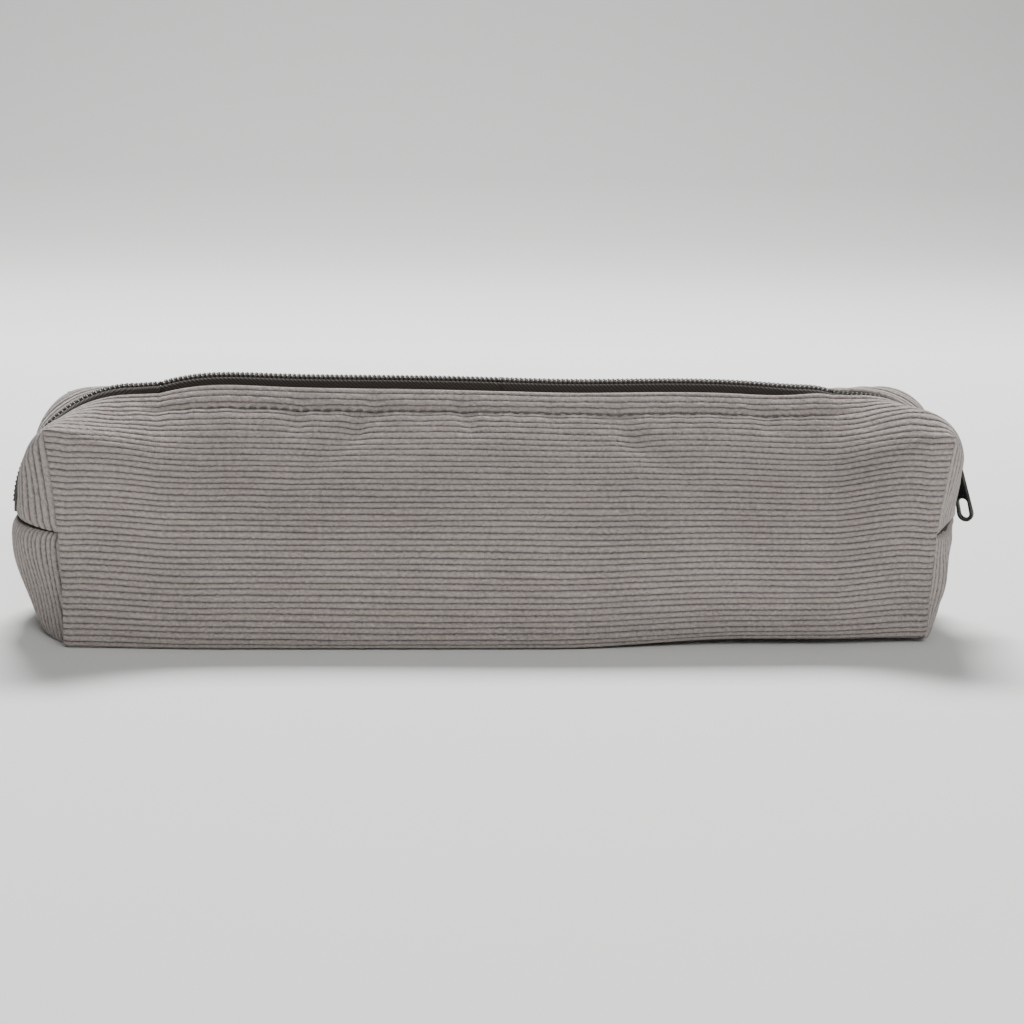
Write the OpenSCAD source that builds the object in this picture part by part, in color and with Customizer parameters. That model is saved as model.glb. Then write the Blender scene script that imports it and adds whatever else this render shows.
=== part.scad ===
// Boxed zip case for pens: a soft four-sided pouch of ribbed cloth, padded and lined.
// The zip runs along the middle of the top, over both ends and down to a seam half-way up each end.
// Millimetres. X is the length, Y the depth (front is -Y), Z is up.
// The origin is the centre of the base, on the surface the case stands on.

/* [Case] */
// Length between the top corners
case_length = 220; // [190:1:250]
// Length between the bottom corners
base_length = 212; // [180:1:245]
// Depth between the front and back corners
case_depth = 55; // [46:1:70]
// Height of the four top corners
corner_height = 53; // [44:1:66]
// How far the bottom edges of the front and back walls spread beyond their corners
wall_swell = 4; // [0:0.5:8]
// How far the lower half of the right end swells beyond its corners
right_swell = 9; // [4:0.5:16]
// How far the lower half of the left end swells beyond its corners
left_swell = 14; // [4:0.5:20]
// Height of the seam across each end
end_seam_height = 27.5; // [22:0.5:32]

/* [Layers] */
// Thickness of the ribbed outer cloth
cloth_t = 1.2; // [0.8:0.1:1.6]
// Thickness of the padding behind the walls and base
padding_t = 2; // [1:0.25:3]
// Thickness of the lining
lining_t = 0.5; // [0.3:0.1:0.8]
// Thickness of a turned-in seam edge
seam_edge_t = 0.9; // [0.5:0.1:1.2]
// Width of a turned-in seam edge
seam_edge_w = 6; // [3:0.5:8]
// Space left between two layers
layer_gap = 0.1; // [0.05:0.05:0.2]
// Space left between the cloth and the padding or seam edges behind it
padding_gap = 0.5; // [0.3:0.1:1]
// Space left between two panels that meet edge to edge
panel_gap = 0.3; // [0.2:0.05:0.6]

/* [Mouth] */
// Length of the two lips that swing open
mouth_length = 168; // [130:1:170]
// Distance between the two cloth edges beside the zip
cloth_slot = 9.2; // [8.6:0.1:12]
// Distance of the row of stitches from the middle of the zip
stitch_offset = 10.5; // [8:0.5:14]
// Width of the row of stitches
stitch_w = 0.6; // [0.4:0.1:1]
// Height of the stitches above the cloth
stitch_h = 0.3; // [0.2:0.05:0.5]

/* [Zip] */
// Height of the zip's tape at both ends of the mouth
zip_height = 58; // [54:0.5:64]
// How much higher the tape is at the middle of the mouth
zip_crest = 3.4; // [0:0.1:4]
// How far the cloth edges sink beside the zip at the middle of the mouth
edge_sink = 2.2; // [0:0.1:3]
// Radius of the tape where it turns down over the right end
right_bend_r = 25; // [22:0.5:28]
// How far the tape on the right end stands out beyond the top corners
right_tape_x = 5.8; // [2:0.1:10]
// Radius of the tape where it turns down over the left end
left_bend_r = 30; // [22:0.5:32]
// How far the tape on the left end stands out beyond the top corners
left_tape_x = 10; // [4:0.1:14]
// Width of each half of the tape, from the middle of the zip
tape_w = 12.5; // [10:0.5:15]
// Thickness of the tape
tape_t = 0.5; // [0.4:0.05:0.6]
// Width of one of the two coils
coil_w = 1.6; // [1.2:0.1:2]
// Height of the coils
coil_h = 1.9; // [1.6:0.1:2.2]
// Space between the two coils, where the slider's wedge runs
coil_space = 0.8; // [0.7:0.05:1.2]

/* [Slider] */
// Angle above level at which the slider rests on the right bend
slider_angle = 39.3; // [34:0.1:46]
// Length of the slider
slider_l = 8.4; // [7:0.1:9]
// Width of the slider at its nose
slider_w = 7.2; // [6.8:0.1:8]
// Width of the slider at its tail
slider_tail_w = 6.6; // [6.2:0.1:7.2]
// Thickness of the slider's two plates
plate_t = 0.85; // [0.7:0.05:1]
// Free space round the coils inside the slider
channel_gap = 0.1; // [0.08:0.01:0.2]
// Radius of the hole through the bridge
eye_r = 0.6; // [0.55:0.01:0.75]
// Wall of the bridge round its hole
bridge_wall = 0.6; // [0.5:0.05:0.9]
// Width of the bridge
bridge_w = 1.8; // [1.4:0.1:2.4]

/* [Pull] */
// Radius of the link's wire
link_wire_r = 0.45; // [0.35:0.01:0.5]
// Length of the link between its two end bars
link_l = 5; // [4.8:0.1:6.5]
// Width of the link between its two side bars
link_w = 4.4; // [4.2:0.1:5]
// Angle at which the link rises from the slider's top
link_rise = 14; // [10:1:25]
// Length of the pull from the link to its tip
pull_l = 22.6; // [16:0.1:28]
// Angle at which the pull hangs out from upright
pull_lean = 14; // [12:0.5:24]
// Angle by which the pull is turned about its own length
pull_turn = 40; // [0:1:42]
// Thickness of the pull
pull_t = 1.1; // [0.9:0.1:1.2]
// Thickness of the pull at its rounded edge
edge_t = 0.6; // [0.4:0.1:0.8]
// Width of the pull's rounded edge
edge_w = 0.2; // [0.1:0.05:0.3]
// Radius of the pull's low round end
loop_r = 2.25; // [2:0.05:3]
// Width of the metal round the oval hole
rim_w = 1.05; // [0.8:0.05:1.4]
// Length of the oval hole in the pull
loop_hole_l = 5.2; // [3.6:0.1:7]
// Angle by which each side of the pull tapers
pull_taper = 4; // [2:0.5:5]
// Radius of the pull's hole round the link
ring_hole_r = 1.2; // [1.15:0.05:1.3]
// Width of the metal round that hole
ring_wall = 0.75; // [0.6:0.05:0.8]

/* [Hidden] */

half_depth = case_depth / 2;
mouth_half = mouth_length / 2;
slot_half = cloth_slot / 2;
right_end_x = case_length / 2 + right_tape_x;
left_end_x = case_length / 2 + left_tape_x;
// Depths of the layers below the outer face of the cloth
tape_depth = cloth_t + layer_gap + tape_t / 2;
lip_lining_depth = cloth_t + tape_t + 2 * layer_gap;
padding_depth = cloth_t + padding_gap;
lining_depth = padding_depth + padding_t + padding_gap;
seam_edge_depth = cloth_t + padding_gap;
end_lining_depth = seam_edge_depth + seam_edge_t + padding_gap;
// The crease between a wall and the top, as a share of the way up the cloth from the base to the zip
crease = 0.7;
crease_gap = 0.004;
wall_shares = [0, 0.1, 0.2, 0.3, 0.4, 0.5, 0.6, crease - crease_gap];
lip_shares = [crease + crease_gap, 0.75, 0.8, 0.85, 0.9, 0.95, 1];
shoulder_shares = [crease + 2 * crease_gap, 0.75, 0.8, 0.85, 0.9, 0.95, 1];
inner_shares = [0.09, 0.2, 0.3, 0.4, 0.5, 0.6, crease - crease_gap];
// Handles of the curve that the slack cloth follows, as shares of the half depth and corner height
belly_height = 0.42;
lean_depth = 0.73;
lean_height = 0.83;
// Share of the way up the cloth at which the row of stitches runs, from its slope beside the zip
stitch_share = 1 - (stitch_offset - slot_half) / 3 / (lean_depth * half_depth - slot_half);
// How fast the boxed shape of the ends fades towards the middle
box_power = 8;
// Share of their swell by which the ends draw in at the base
foot_tuck = 0.45;
// Radius of the sharp top corners
corner_r = 2;
// Shortest straight stretch of cloth, tape and coil above the seam across an end
seam_run = 0.5;
// Height of the upper side of that seam
seam_top = end_seam_height + panel_gap / 2;
smooth = 48;
// Cells of the grids: half a wall, a lip, the base and an end, with the wall's crowded towards its ends
wall_cells = 18;
wall_crowding = 1.6;
base_cells = 8;
lip_cells = 14;
end_cells = 10;
// Rows of points round a bend of the cloth and tape, and before and after it
bend_cells = 12;
run_cells = 3;
step = 0.004;

// Unit vector along v
function unit(v) = v / norm(v);

// Point of a grid, or the nearest one inside its edges
function at(grid, i, j) = grid[max(0, min(len(grid) - 1, i))][max(0, min(len(grid[0]) - 1, j))];

// Outward direction of a grid at one of its points
function outward(grid, i, j) =
    unit(cross(at(grid, i + 1, j) - at(grid, i - 1, j), at(grid, i, j + 1) - at(grid, i, j - 1)));

// The same grid moved inwards by a depth
function inset(grid, depth) = [
    for (i = [0 : len(grid) - 1])
        [for (j = [0 : len(grid[0]) - 1]) grid[i][j] - depth * outward(grid, i, j)]
];

// Closed solid between two grids of points, the outer one first
module shell(top, low) {
    rows = len(top);
    cols = len(top[0]);
    count = rows * cols;
    points = concat([for (row = top) each row], [for (row = low) each row]);
    faces_top = [
        for (i = [0 : rows - 2], j = [0 : cols - 2])
            let (a = i * cols + j, b = a + 1, c = a + cols, d = c + 1)
                each [[a, b, d], [a, d, c]]
    ];
    faces_low = [for (f = faces_top) [f[0] + count, f[2] + count, f[1] + count]];
    edge = concat(
        [for (j = [0 : cols - 2]) [j, j + 1]],
        [for (i = [0 : rows - 2]) [i * cols + cols - 1, (i + 1) * cols + cols - 1]],
        [for (j = [cols - 1 : -1 : 1]) [(rows - 1) * cols + j, (rows - 1) * cols + j - 1]],
        [for (i = [rows - 1 : -1 : 1]) [i * cols, (i - 1) * cols]]
    );
    faces_rim = [
        for (e = edge)
            each [[e[0], e[0] + count, e[1]], [e[1], e[0] + count, e[1] + count]]
    ];
    polyhedron(points, concat(faces_top, faces_low, faces_rim));
}

// Closed solid between the depths near and far below a grid of points
module layer(grid, near, far) {
    shell(inset(grid, near), inset(grid, far));
}

// Point a share of the way from a to b
function mix(a, b, share) = a + (b - a) * share;

// Distance from the middle to a corner of the case, a share of the way up the cloth
function half_length(t) = mix(base_length / 2, case_length / 2, min(1, t / crease));

// Distance from the middle to a corner of the case at a height
function corner_x(z) = mix(base_length / 2, case_length / 2, z / corner_height);

// Height of the tape along the mouth
function tape_z(x) = zip_height + zip_crest * (1 - pow(min(1, abs(x) / mouth_half), 6));

// Height of the cloth edge beside the zip
function edge_z(x) = tape_z(x) + tape_depth - edge_sink * (1 - pow(min(1, abs(x) / mouth_half), 4));

// Section of the cloth where it hangs slack from the zip, as [y, z]
function slack_section(t, top) =
    pow(1 - t, 3) * [-half_depth - wall_swell, 0]
    + 3 * t * pow(1 - t, 2) * [-half_depth - 2 * wall_swell, belly_height * corner_height]
    + 3 * t * t * (1 - t) * [-lean_depth * half_depth, lean_height * corner_height]
    + t * t * t * [-slot_half, top];

// Section of the cloth at the boxed ends, as [y, z]
function boxed_section(t, top) =
    t < crease
        ? mix([-half_depth, 0], [-half_depth, corner_height], t / crease)
        : mix([-half_depth, corner_height], [-slot_half, top], (t - crease) / (1 - crease));

// Point of the front cloth, at a share s of its half length and a share t of the way up it
function skin(s, t) =
    let (x = s * half_length(t), top = edge_z(x))
    let (p = mix(slack_section(t, top), boxed_section(t, top), pow(abs(s), box_power)))
        [x, p[0], p[1]];

// Outward direction of the front cloth at that point
function skin_out(s, t) =
    unit(cross(skin(s + step, t) - skin(s - step, t), skin(s, t + step) - skin(s, t - step)));

// Point of the front cloth a depth below its outer face
function under_skin(s, t, depth) = skin(s, t) - depth * skin_out(s, t);

// Part of the front cloth, between two depths below its outer face
module skin_layer(sides, shares, near, far) {
    shell(
        [for (s = sides) [for (t = shares) under_skin(s, t, near)]],
        [for (s = sides) [for (t = shares) under_skin(s, t, far)]]
    );
}

// Shares of the half length: the whole wall a margin inside its corners, and the mouth
function wall_sides(margin) =
    let (widest = 1 - margin / (case_length / 2))
        [
            for (k = [-wall_cells : wall_cells])
                widest * sign(k) * (1 - pow(1 - abs(k) / wall_cells, wall_crowding))
        ];
lip_sides = [for (i = [0 : lip_cells]) mouth_length / case_length * (2 * i / lip_cells - 1)];

// Angle through which a bend of radius r turns down from a height before it meets the seam
function bend_turn(top_z, r) = acos(max(0, (seam_top + seam_run - top_z + r) / r));

// Outer face of one front shoulder on the +X side: along the top, round the bend and down to the seam
function shoulder_path(t, tape_x, bend_r, corner_y) =
    let (
        share = (t - crease) / (1 - crease),
        corner = case_length / 2,
        end_x = mix(corner, tape_x + tape_depth, 1 - pow(1 - share, 2)),
        r = mix(corner_r, bend_r + tape_depth, share),
        start_s = (mouth_half + panel_gap) / corner,
        bend_s = (end_x - r) / corner,
        top = skin(bend_s, t),
        turn = bend_turn(top[2], r),
        bent = [top[0] + r * sin(turn), top[2] - r + r * cos(turn)],
        end_y = mix(-corner_y, -slot_half, share)
    )
        concat(
            [for (k = [0 : run_cells - 1]) skin(mix(start_s, bend_s, k / run_cells), t)],
            [
                for (k = [0 : bend_cells])
                    let (share_turned = k / bend_cells, angle = turn * share_turned)
                        [
                            top[0] + r * sin(angle),
                            mix(top[1], end_y, share_turned),
                            top[2] - r + r * cos(angle)
                        ]
            ],
            [
                for (k = [1 : run_cells])
                    let (z = mix(bent[1], seam_top, k / run_cells))
                        [bent[0] - (corner_x(bent[1]) - corner_x(z)) * (1 - share), end_y, z]
            ]
        );

// Grid of shoulder paths, one column for each share
function shoulder_grid(shares, tape_x, bend_r) =
    let (
        corner_y = half_depth - cloth_t - panel_gap,
        paths = [for (t = shares) shoulder_path(t, tape_x, bend_r, corner_y)]
    )
        [for (i = [0 : len(paths[0]) - 1]) [for (path = paths) path[i]]];

// Outer face of the lower half of the +X end between two heights and out to a share of its width
function lower_end_grid(low, high, share, end_swell) = [
    for (i = [0 : end_cells])
        [
            for (j = [0 : 4])
                let (
                    w = share * (2 * i / end_cells - 1),
                    z = low + (high - low) * j / 4,
                    out = end_swell * (1 - foot_tuck * pow(1 - z / end_seam_height, 2))
                )
                    [corner_x(z) + out * (1 - w * w), w * (half_depth - cloth_t - panel_gap), z]
        ]
];

// Outline of the base, a margin inside the outer faces
module base_outline(margin) {
    out_right = right_swell * (1 - foot_tuck);
    out_left = left_swell * (1 - foot_tuck);
    half_l = base_length / 2 - margin;
    half_w = half_depth - margin;
    shares = [for (i = [-base_cells : base_cells]) i / base_cells];
    polygon(concat(
        [for (w = shares) [half_l + out_right * (1 - w * w), half_w * w]],
        [for (w = shares) [-half_l * w, half_w + wall_swell * (1 - pow(w, box_power))]],
        [for (w = shares) [-half_l - out_left * (1 - w * w), -half_w * w]],
        [for (w = shares) [half_l * w, -half_w - wall_swell * (1 - pow(w, box_power))]]
    ));
}

// The tape: under the cloth, then flat beside the coils
tape_shares = [
    for (y = [tape_w : -2 : slot_half + 1]) mix(crease, 1, (half_depth - y) / (half_depth - slot_half))
];
tape_edge = coil_space / 2 + coil_w + layer_gap / 2;
// How far inside the cloth edge the tape lies flat, where the slider runs
tape_rise = 0.7;

// Middle surface of the front tape along the mouth
function tape_grid() = [
    for (s = lip_sides)
        concat(
            [for (t = tape_shares) under_skin(s, t, tape_depth)],
            [under_skin(s, 1, tape_depth)],
            [[s * case_length / 2, -tape_edge - tape_t / 3, tape_z(s * case_length / 2)]]
        )
];

// Middle surface of the front tape over the +X end
function end_tape_grid(tape_x, bend_r) =
    let (
        cloth_grid = shoulder_grid(tape_shares, tape_x, bend_r),
        under = inset(cloth_grid, tape_depth),
        middle = shoulder_path(1, tape_x, bend_r, half_depth),
        full_turn = bend_turn(zip_height + tape_depth, bend_r + tape_depth)
    )
        [
            for (i = [0 : len(under) - 1])
                let (
                    turn = full_turn * max(0, min(bend_cells, i - run_cells)) / bend_cells,
                    x = middle[i][0] - tape_depth * sin(turn),
                    z = middle[i][2] - tape_depth * cos(turn)
                )
                    concat(under[i], [for (y = [slot_half - tape_rise, tape_edge]) [x, -y, z]])
        ];

// Half of the zip's coil, as its section in the plane across the zip, standing on the point [0, 0]
module coil_section() {
    translate([-coil_space / 2 - coil_w, -coil_h / 2]) square([coil_w, coil_h]);
}

// Both coils over the +X end: straight, round the bend and down to the seam
module end_coils(tape_x, bend_r) {
    centre_x = tape_x - bend_r;
    centre_z = zip_height - bend_r;
    start_x = mouth_half + panel_gap;
    bend_end = asin(max(0, seam_top + seam_run - centre_z) / bend_r);
    end_z = centre_z + bend_r * sin(bend_end);
    for (side = [0, 1])
        mirror([0, side, 0]) {
            translate([start_x, 0, zip_height])
                rotate([90, 0, 90]) linear_extrude(centre_x - start_x) coil_section();
            translate([centre_x, 0, centre_z])
                rotate([90, 0, 0])
                    rotate_extrude(start = bend_end, angle = 90 - bend_end, $fn = 4 * smooth)
                        translate([bend_r, 0]) rotate([0, 0, -90]) coil_section();
            translate([centre_x + bend_r * cos(bend_end), 0, seam_top])
                linear_extrude(end_z - seam_top) rotate([0, 0, -90]) coil_section();
        }
}

// Front coil along the mouth, as a bar that follows the tape
module mouth_coil() {
    y0 = -coil_space / 2 - coil_w;
    grid = [
        for (i = [0 : lip_cells])
            let (x = mouth_half * (2 * i / lip_cells - 1))
                [for (y = [y0, y0 + coil_w]) [x, y, tape_z(x)]]
    ];
    layer(grid, -coil_h / 2, coil_h / 2);
}

// Frame of the slider: its origin on the bend, +X down the zip, +Z away from the case
seat_drop = 0.17;
module slider_place() {
    translate([right_end_x - right_bend_r, 0, zip_height - right_bend_r])
        rotate([0, 90 - slider_angle, 0])
            translate([0, 0, right_bend_r - seat_drop])
                children();
}

channel_half = coil_h / 2 + seat_drop + channel_gap;
slot_half_h = tape_t / 2 + seat_drop + channel_gap;
plate_top = channel_half + plate_t;
eye_z = plate_top + eye_r + 0.05;
link_end = [link_l * cos(link_rise), 0, eye_z + link_l * sin(link_rise)];
flange_t = 0.6;
// Length of the wedge between the plates, and the chamfers of the plates
wedge_l = 2;
nose_chamfer = 0.8;
tail_chamfer = 0.8;
nose_taper = 2.2;
// Overlap with which the slider's forms run into each other
join = 0.01;

// Outline of one plate: wide at the nose (+X), narrower at the tail
module plate_outline(inset_w) {
    nose = slider_w / 2 - inset_w;
    tail = slider_tail_w / 2 - inset_w;
    polygon([
        [-slider_l / 2, -tail + tail_chamfer],
        [-slider_l / 2 + tail_chamfer, -tail],
        [slider_l / 2 - nose_taper, -nose],
        [slider_l / 2 - nose_chamfer, -nose],
        [slider_l / 2, -nose + nose_chamfer],
        [slider_l / 2, nose - nose_chamfer],
        [slider_l / 2 - nose_chamfer, nose],
        [slider_l / 2 - nose_taper, nose],
        [-slider_l / 2 + tail_chamfer, tail],
        [-slider_l / 2, tail - tail_chamfer]
    ]);
}

// One plate with the flanges that hold the tape's edge
module slider_plate() {
    translate([0, 0, channel_half]) linear_extrude(plate_t) plate_outline(0);
    difference() {
        translate([0, 0, slot_half_h]) linear_extrude(channel_half - slot_half_h + join) plate_outline(0);
        translate([-slider_l, -slider_tail_w / 2 + flange_t, 0])
            cube([2 * slider_l, slider_tail_w - 2 * flange_t, channel_half]);
    }
}

module front_wall() {
    color([0.55, 0.525, 0.5]) skin_layer(wall_sides(0), wall_shares, 0, cloth_t);
}

module back_wall() {
    mirror([0, 1, 0]) front_wall();
}

module base_panel() {
    color([0.53, 0.505, 0.485]) linear_extrude(cloth_t) base_outline(cloth_t + panel_gap);
}

module left_end_lower() {
    top = end_seam_height - panel_gap / 2;
    color([0.5, 0.49, 0.48]) mirror([1, 0, 0]) layer(lower_end_grid(0, top, 1, left_swell), 0, cloth_t);
}

module right_end_lower() {
    top = end_seam_height - panel_gap / 2;
    color([0.5, 0.49, 0.48]) layer(lower_end_grid(0, top, 1, right_swell), 0, cloth_t);
}

module shoulder(tape_x, bend_r) {
    color([0.52, 0.5, 0.48]) layer(shoulder_grid(shoulder_shares, tape_x, bend_r), 0, cloth_t);
}

module left_shoulder_front() {
    mirror([1, 0, 0]) shoulder(left_end_x, left_bend_r);
}

module left_shoulder_back() {
    mirror([1, 0, 0]) mirror([0, 1, 0]) shoulder(left_end_x, left_bend_r);
}

module right_shoulder_front() {
    shoulder(right_end_x, right_bend_r);
}

module right_shoulder_back() {
    mirror([0, 1, 0]) shoulder(right_end_x, right_bend_r);
}

module wall_padding() {
    margin = lining_depth + panel_gap;
    color([0.9, 0.9, 0.88])
        skin_layer(wall_sides(margin), inner_shares, padding_depth, padding_depth + padding_t);
}

module padding_front() {
    wall_padding();
}

module padding_back() {
    mirror([0, 1, 0]) wall_padding();
}

module padding_base() {
    margin = lining_depth + panel_gap;
    color([0.9, 0.9, 0.88]) translate([0, 0, padding_depth]) linear_extrude(padding_t) base_outline(margin);
}

module wall_lining() {
    margin = lining_depth + panel_gap;
    color([0.72, 0.68, 0.62])
        skin_layer(wall_sides(margin), inner_shares, lining_depth, lining_depth + lining_t);
}

module lining_front() {
    wall_lining();
}

module lining_back() {
    mirror([0, 1, 0]) wall_lining();
}

module lining_base() {
    margin = lining_depth + lining_t + panel_gap;
    color([0.72, 0.68, 0.62]) translate([0, 0, lining_depth]) linear_extrude(lining_t) base_outline(margin);
}

module end_lining(tape_x, bend_r, end_swell) {
    low = lining_depth + lining_t + layer_gap;
    top = end_seam_height - panel_gap / 2;
    upper = [0.78, 0.82, 0.86, 0.9, 0.94, 0.98];
    color([0.72, 0.68, 0.62]) {
        layer(lower_end_grid(low, top, 0.84, end_swell), end_lining_depth, end_lining_depth + lining_t);
        for (side = [0, 1])
            mirror([0, side, 0])
                layer(shoulder_grid(upper, tape_x, bend_r), end_lining_depth, end_lining_depth + lining_t);
    }
}

module lining_left_end() {
    mirror([1, 0, 0]) end_lining(left_end_x, left_bend_r, left_swell);
}

module lining_right_end() {
    end_lining(right_end_x, right_bend_r, right_swell);
}

// Turned-in edge of the seam across one end, just below the seam
module end_seam_edge(end_swell) {
    top = end_seam_height - panel_gap;
    color([0.46, 0.44, 0.42])
        layer(
            lower_end_grid(top - seam_edge_w, top, 0.7, end_swell),
            seam_edge_depth,
            seam_edge_depth + seam_edge_t
        );
}

module seam_edge_left() {
    mirror([1, 0, 0]) end_seam_edge(left_swell);
}

module seam_edge_right() {
    end_seam_edge(right_swell);
}

// Turned-in edges of the four upright corner seams, behind the lower halves of the ends
module corner_seam_edges() {
    corner_y = half_depth - cloth_t - panel_gap;
    low = lining_depth + lining_t + layer_gap;
    top = end_seam_height - panel_gap;
    color([0.46, 0.44, 0.42])
        for (end = [0, 1])
            mirror([end, 0, 0])
                for (side = [0, 1])
                    mirror([0, side, 0])
                        layer(
                            corner_strip(low, top, corner_y, end == 0 ? right_swell : left_swell),
                            seam_edge_depth,
                            seam_edge_depth + seam_edge_t
                        );
}

// Distance of the turned-in corner edges from their corner, and their width
strip_inset = 1.5;
strip_w = seam_edge_w - 2;

// Narrow upright part of the lower end beside one of its corners
function corner_strip(low, high, corner_y, end_swell) =
    let (w_out = -1 + strip_inset / corner_y, w_in = -1 + (strip_inset + strip_w) / corner_y)
        [
            for (w = [w_out, w_in])
                [
                    for (j = [0 : 4])
                        let (
                            z = low + (high - low) * j / 4,
                            out = end_swell * (1 - foot_tuck * pow(1 - z / end_seam_height, 2))
                        )
                            [corner_x(z) + out * (1 - w * w), w * corner_y, z]
                ]
        ];

module end_tapes(tape_x, bend_r) {
    color([0.16, 0.13, 0.12])
        for (side = [0, 1])
            mirror([0, side, 0]) layer(end_tape_grid(tape_x, bend_r), -tape_t / 2, tape_t / 2);
}

module tape_left_end() {
    mirror([1, 0, 0]) end_tapes(left_end_x, left_bend_r);
}

module tape_right_end() {
    end_tapes(right_end_x, right_bend_r);
}

module coil_left_end() {
    color([0.14, 0.12, 0.11]) mirror([1, 0, 0]) end_coils(left_end_x, left_bend_r);
}

module coil_right_end() {
    color([0.14, 0.12, 0.11]) end_coils(right_end_x, right_bend_r);
}

module lip() {
    color([0.56, 0.535, 0.51]) skin_layer(lip_sides, lip_shares, 0, cloth_t);
}

module lip_lining() {
    shares = [crease + crease_gap, 0.75, 0.8, 0.85, 0.9, 0.95, 0.98];
    color([0.72, 0.68, 0.62])
        skin_layer(lip_sides, shares, lip_lining_depth, lip_lining_depth + lining_t);
}

module mouth_tape() {
    color([0.16, 0.13, 0.12]) layer(tape_grid(), -tape_t / 2, tape_t / 2);
}

module topstitch() {
    half_share = stitch_w / 2 / (half_depth - slot_half) * (1 - crease);
    shares = [stitch_share - half_share, stitch_share + half_share];
    color([0.5, 0.48, 0.46]) skin_layer(lip_sides, shares, -stitch_h - layer_gap, -layer_gap);
}

module lip_front() {
    lip();
}

module lip_lining_front() {
    lip_lining();
}

module tape_front() {
    mouth_tape();
}

module coil_front() {
    color([0.14, 0.12, 0.11]) mouth_coil();
}

module topstitch_front() {
    topstitch();
}

module lip_back() {
    mirror([0, 1, 0]) lip();
}

module lip_lining_back() {
    mirror([0, 1, 0]) lip_lining();
}

module tape_back() {
    mirror([0, 1, 0]) mouth_tape();
}

module coil_back() {
    color([0.14, 0.12, 0.11]) mirror([0, 1, 0]) mouth_coil();
}

module topstitch_back() {
    mirror([0, 1, 0]) topstitch();
}

// Two plates joined by a wedge at the nose, with a bridge on top for the link
module slider_body() {
    wedge_w = coil_space - 3 * channel_gap;
    bridge_r = eye_r + bridge_wall;
    color([0.13, 0.14, 0.14])
        slider_place()
            difference() {
                union() {
                    slider_plate();
                    mirror([0, 0, 1]) slider_plate();
                    translate([slider_l / 2 - wedge_l - nose_chamfer, -wedge_w / 2, -channel_half - join])
                        cube([wedge_l, wedge_w, 2 * (channel_half + join)]);
                    translate([0, bridge_w / 2, eye_z])
                        rotate([90, 0, 0]) cylinder(h = bridge_w, r = bridge_r, $fn = smooth);
                    translate([-bridge_r, -bridge_w / 2, plate_top - join])
                        cube([2 * bridge_r, bridge_w, eye_z - plate_top]);
                }
                translate([0, bridge_w, eye_z])
                    rotate([90, 0, 0]) cylinder(h = 2 * bridge_w, r = eye_r, $fn = smooth);
            }
}

// Round bar between two points
module bar(a, b, r) {
    d = b - a;
    translate(a)
        rotate([0, acos(d[2] / norm(d)), atan2(d[1], d[0])])
            cylinder(h = norm(d), r = r, $fn = smooth / 2);
}

// Four-sided wire link through the bridge and the pull's ring
module pull_link() {
    near = [0, 0, eye_z];
    corners = [for (e = [near, link_end], s = [-1, 1]) e + [0, s * link_w / 2, 0]];
    color([0.15, 0.16, 0.16])
        slider_place() {
            bar(corners[0], corners[1], link_wire_r);
            bar(corners[2], corners[3], link_wire_r);
            bar(corners[0], corners[2], link_wire_r);
            bar(corners[1], corners[3], link_wire_r);
            for (corner = corners)
                translate(corner) sphere(r = link_wire_r, $fn = smooth / 2);
        }
}

// Outline of the pull, a margin inside its edge, its ring at the origin and its tip towards +Y
module pull_outline(margin) {
    low_v = pull_l - loop_r;
    r = loop_r - margin;
    side_v = low_v - r * sin(pull_taper);
    side_u = r * cos(pull_taper);
    neck_u = side_u - side_v * tan(pull_taper);
    circle(ring_hole_r + ring_wall - margin, $fn = smooth);
    translate([0, low_v]) circle(r, $fn = smooth);
    polygon([[-neck_u, 0], [neck_u, 0], [side_u, side_v], [-side_u, side_v]]);
}

// Oval hole of the pull, a margin outside its edge
module loop_hole(margin) {
    r = loop_r - rim_w + margin;
    half_l = loop_hole_l / 2 + margin - r;
    centre_v = pull_l - rim_w - loop_hole_l / 2;
    translate([0, centre_v - half_l]) circle(r, $fn = smooth);
    translate([0, centre_v + half_l]) circle(r, $fn = smooth);
    translate([-r, centre_v - half_l]) square([2 * r, 2 * half_l]);
}

// One thickness of the pull, its edges drawn in by a margin
module pull_plate(thickness, margin) {
    translate([0, 0, -thickness / 2])
        linear_extrude(thickness)
            difference() {
                pull_outline(margin);
                loop_hole(margin);
            }
}

// Teardrop pull with stepped-down edges, hanging along -Z from its ring
module teardrop() {
    rotate([-90, 0, 0])
        difference() {
            union() {
                pull_plate(edge_t, 0);
                pull_plate(pull_t, edge_w);
            }
            cylinder(h = 2 * pull_t, r = ring_hole_r, center = true, $fn = smooth);
        }
}

module pull_tab() {
    color([0.15, 0.16, 0.16])
        slider_place()
            translate(link_end)
                rotate([0, slider_angle - 90 - pull_lean, 0])
                    rotate([0, 0, -pull_turn])
                        teardrop();
}

front_wall();
back_wall();
base_panel();
left_end_lower();
right_end_lower();
left_shoulder_front();
left_shoulder_back();
right_shoulder_front();
right_shoulder_back();
padding_front();
padding_back();
padding_base();
lining_front();
lining_back();
lining_base();
lining_left_end();
lining_right_end();
seam_edge_left();
seam_edge_right();
corner_seam_edges();
tape_left_end();
tape_right_end();
coil_left_end();
coil_right_end();
lip_front();
lip_lining_front();
tape_front();
coil_front();
topstitch_front();
lip_back();
lip_lining_back();
tape_back();
coil_back();
topstitch_back();
slider_body();
pull_link();
pull_tab();
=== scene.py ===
"""Boxed zip case of ribbed cloth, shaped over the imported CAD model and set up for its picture.

Sizes are in millimetres until a mesh is made. X is the length, -Y the front, Z is up.
"""

import math

import bpy
import numpy as np
from mathutils import Matrix, Vector


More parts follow.
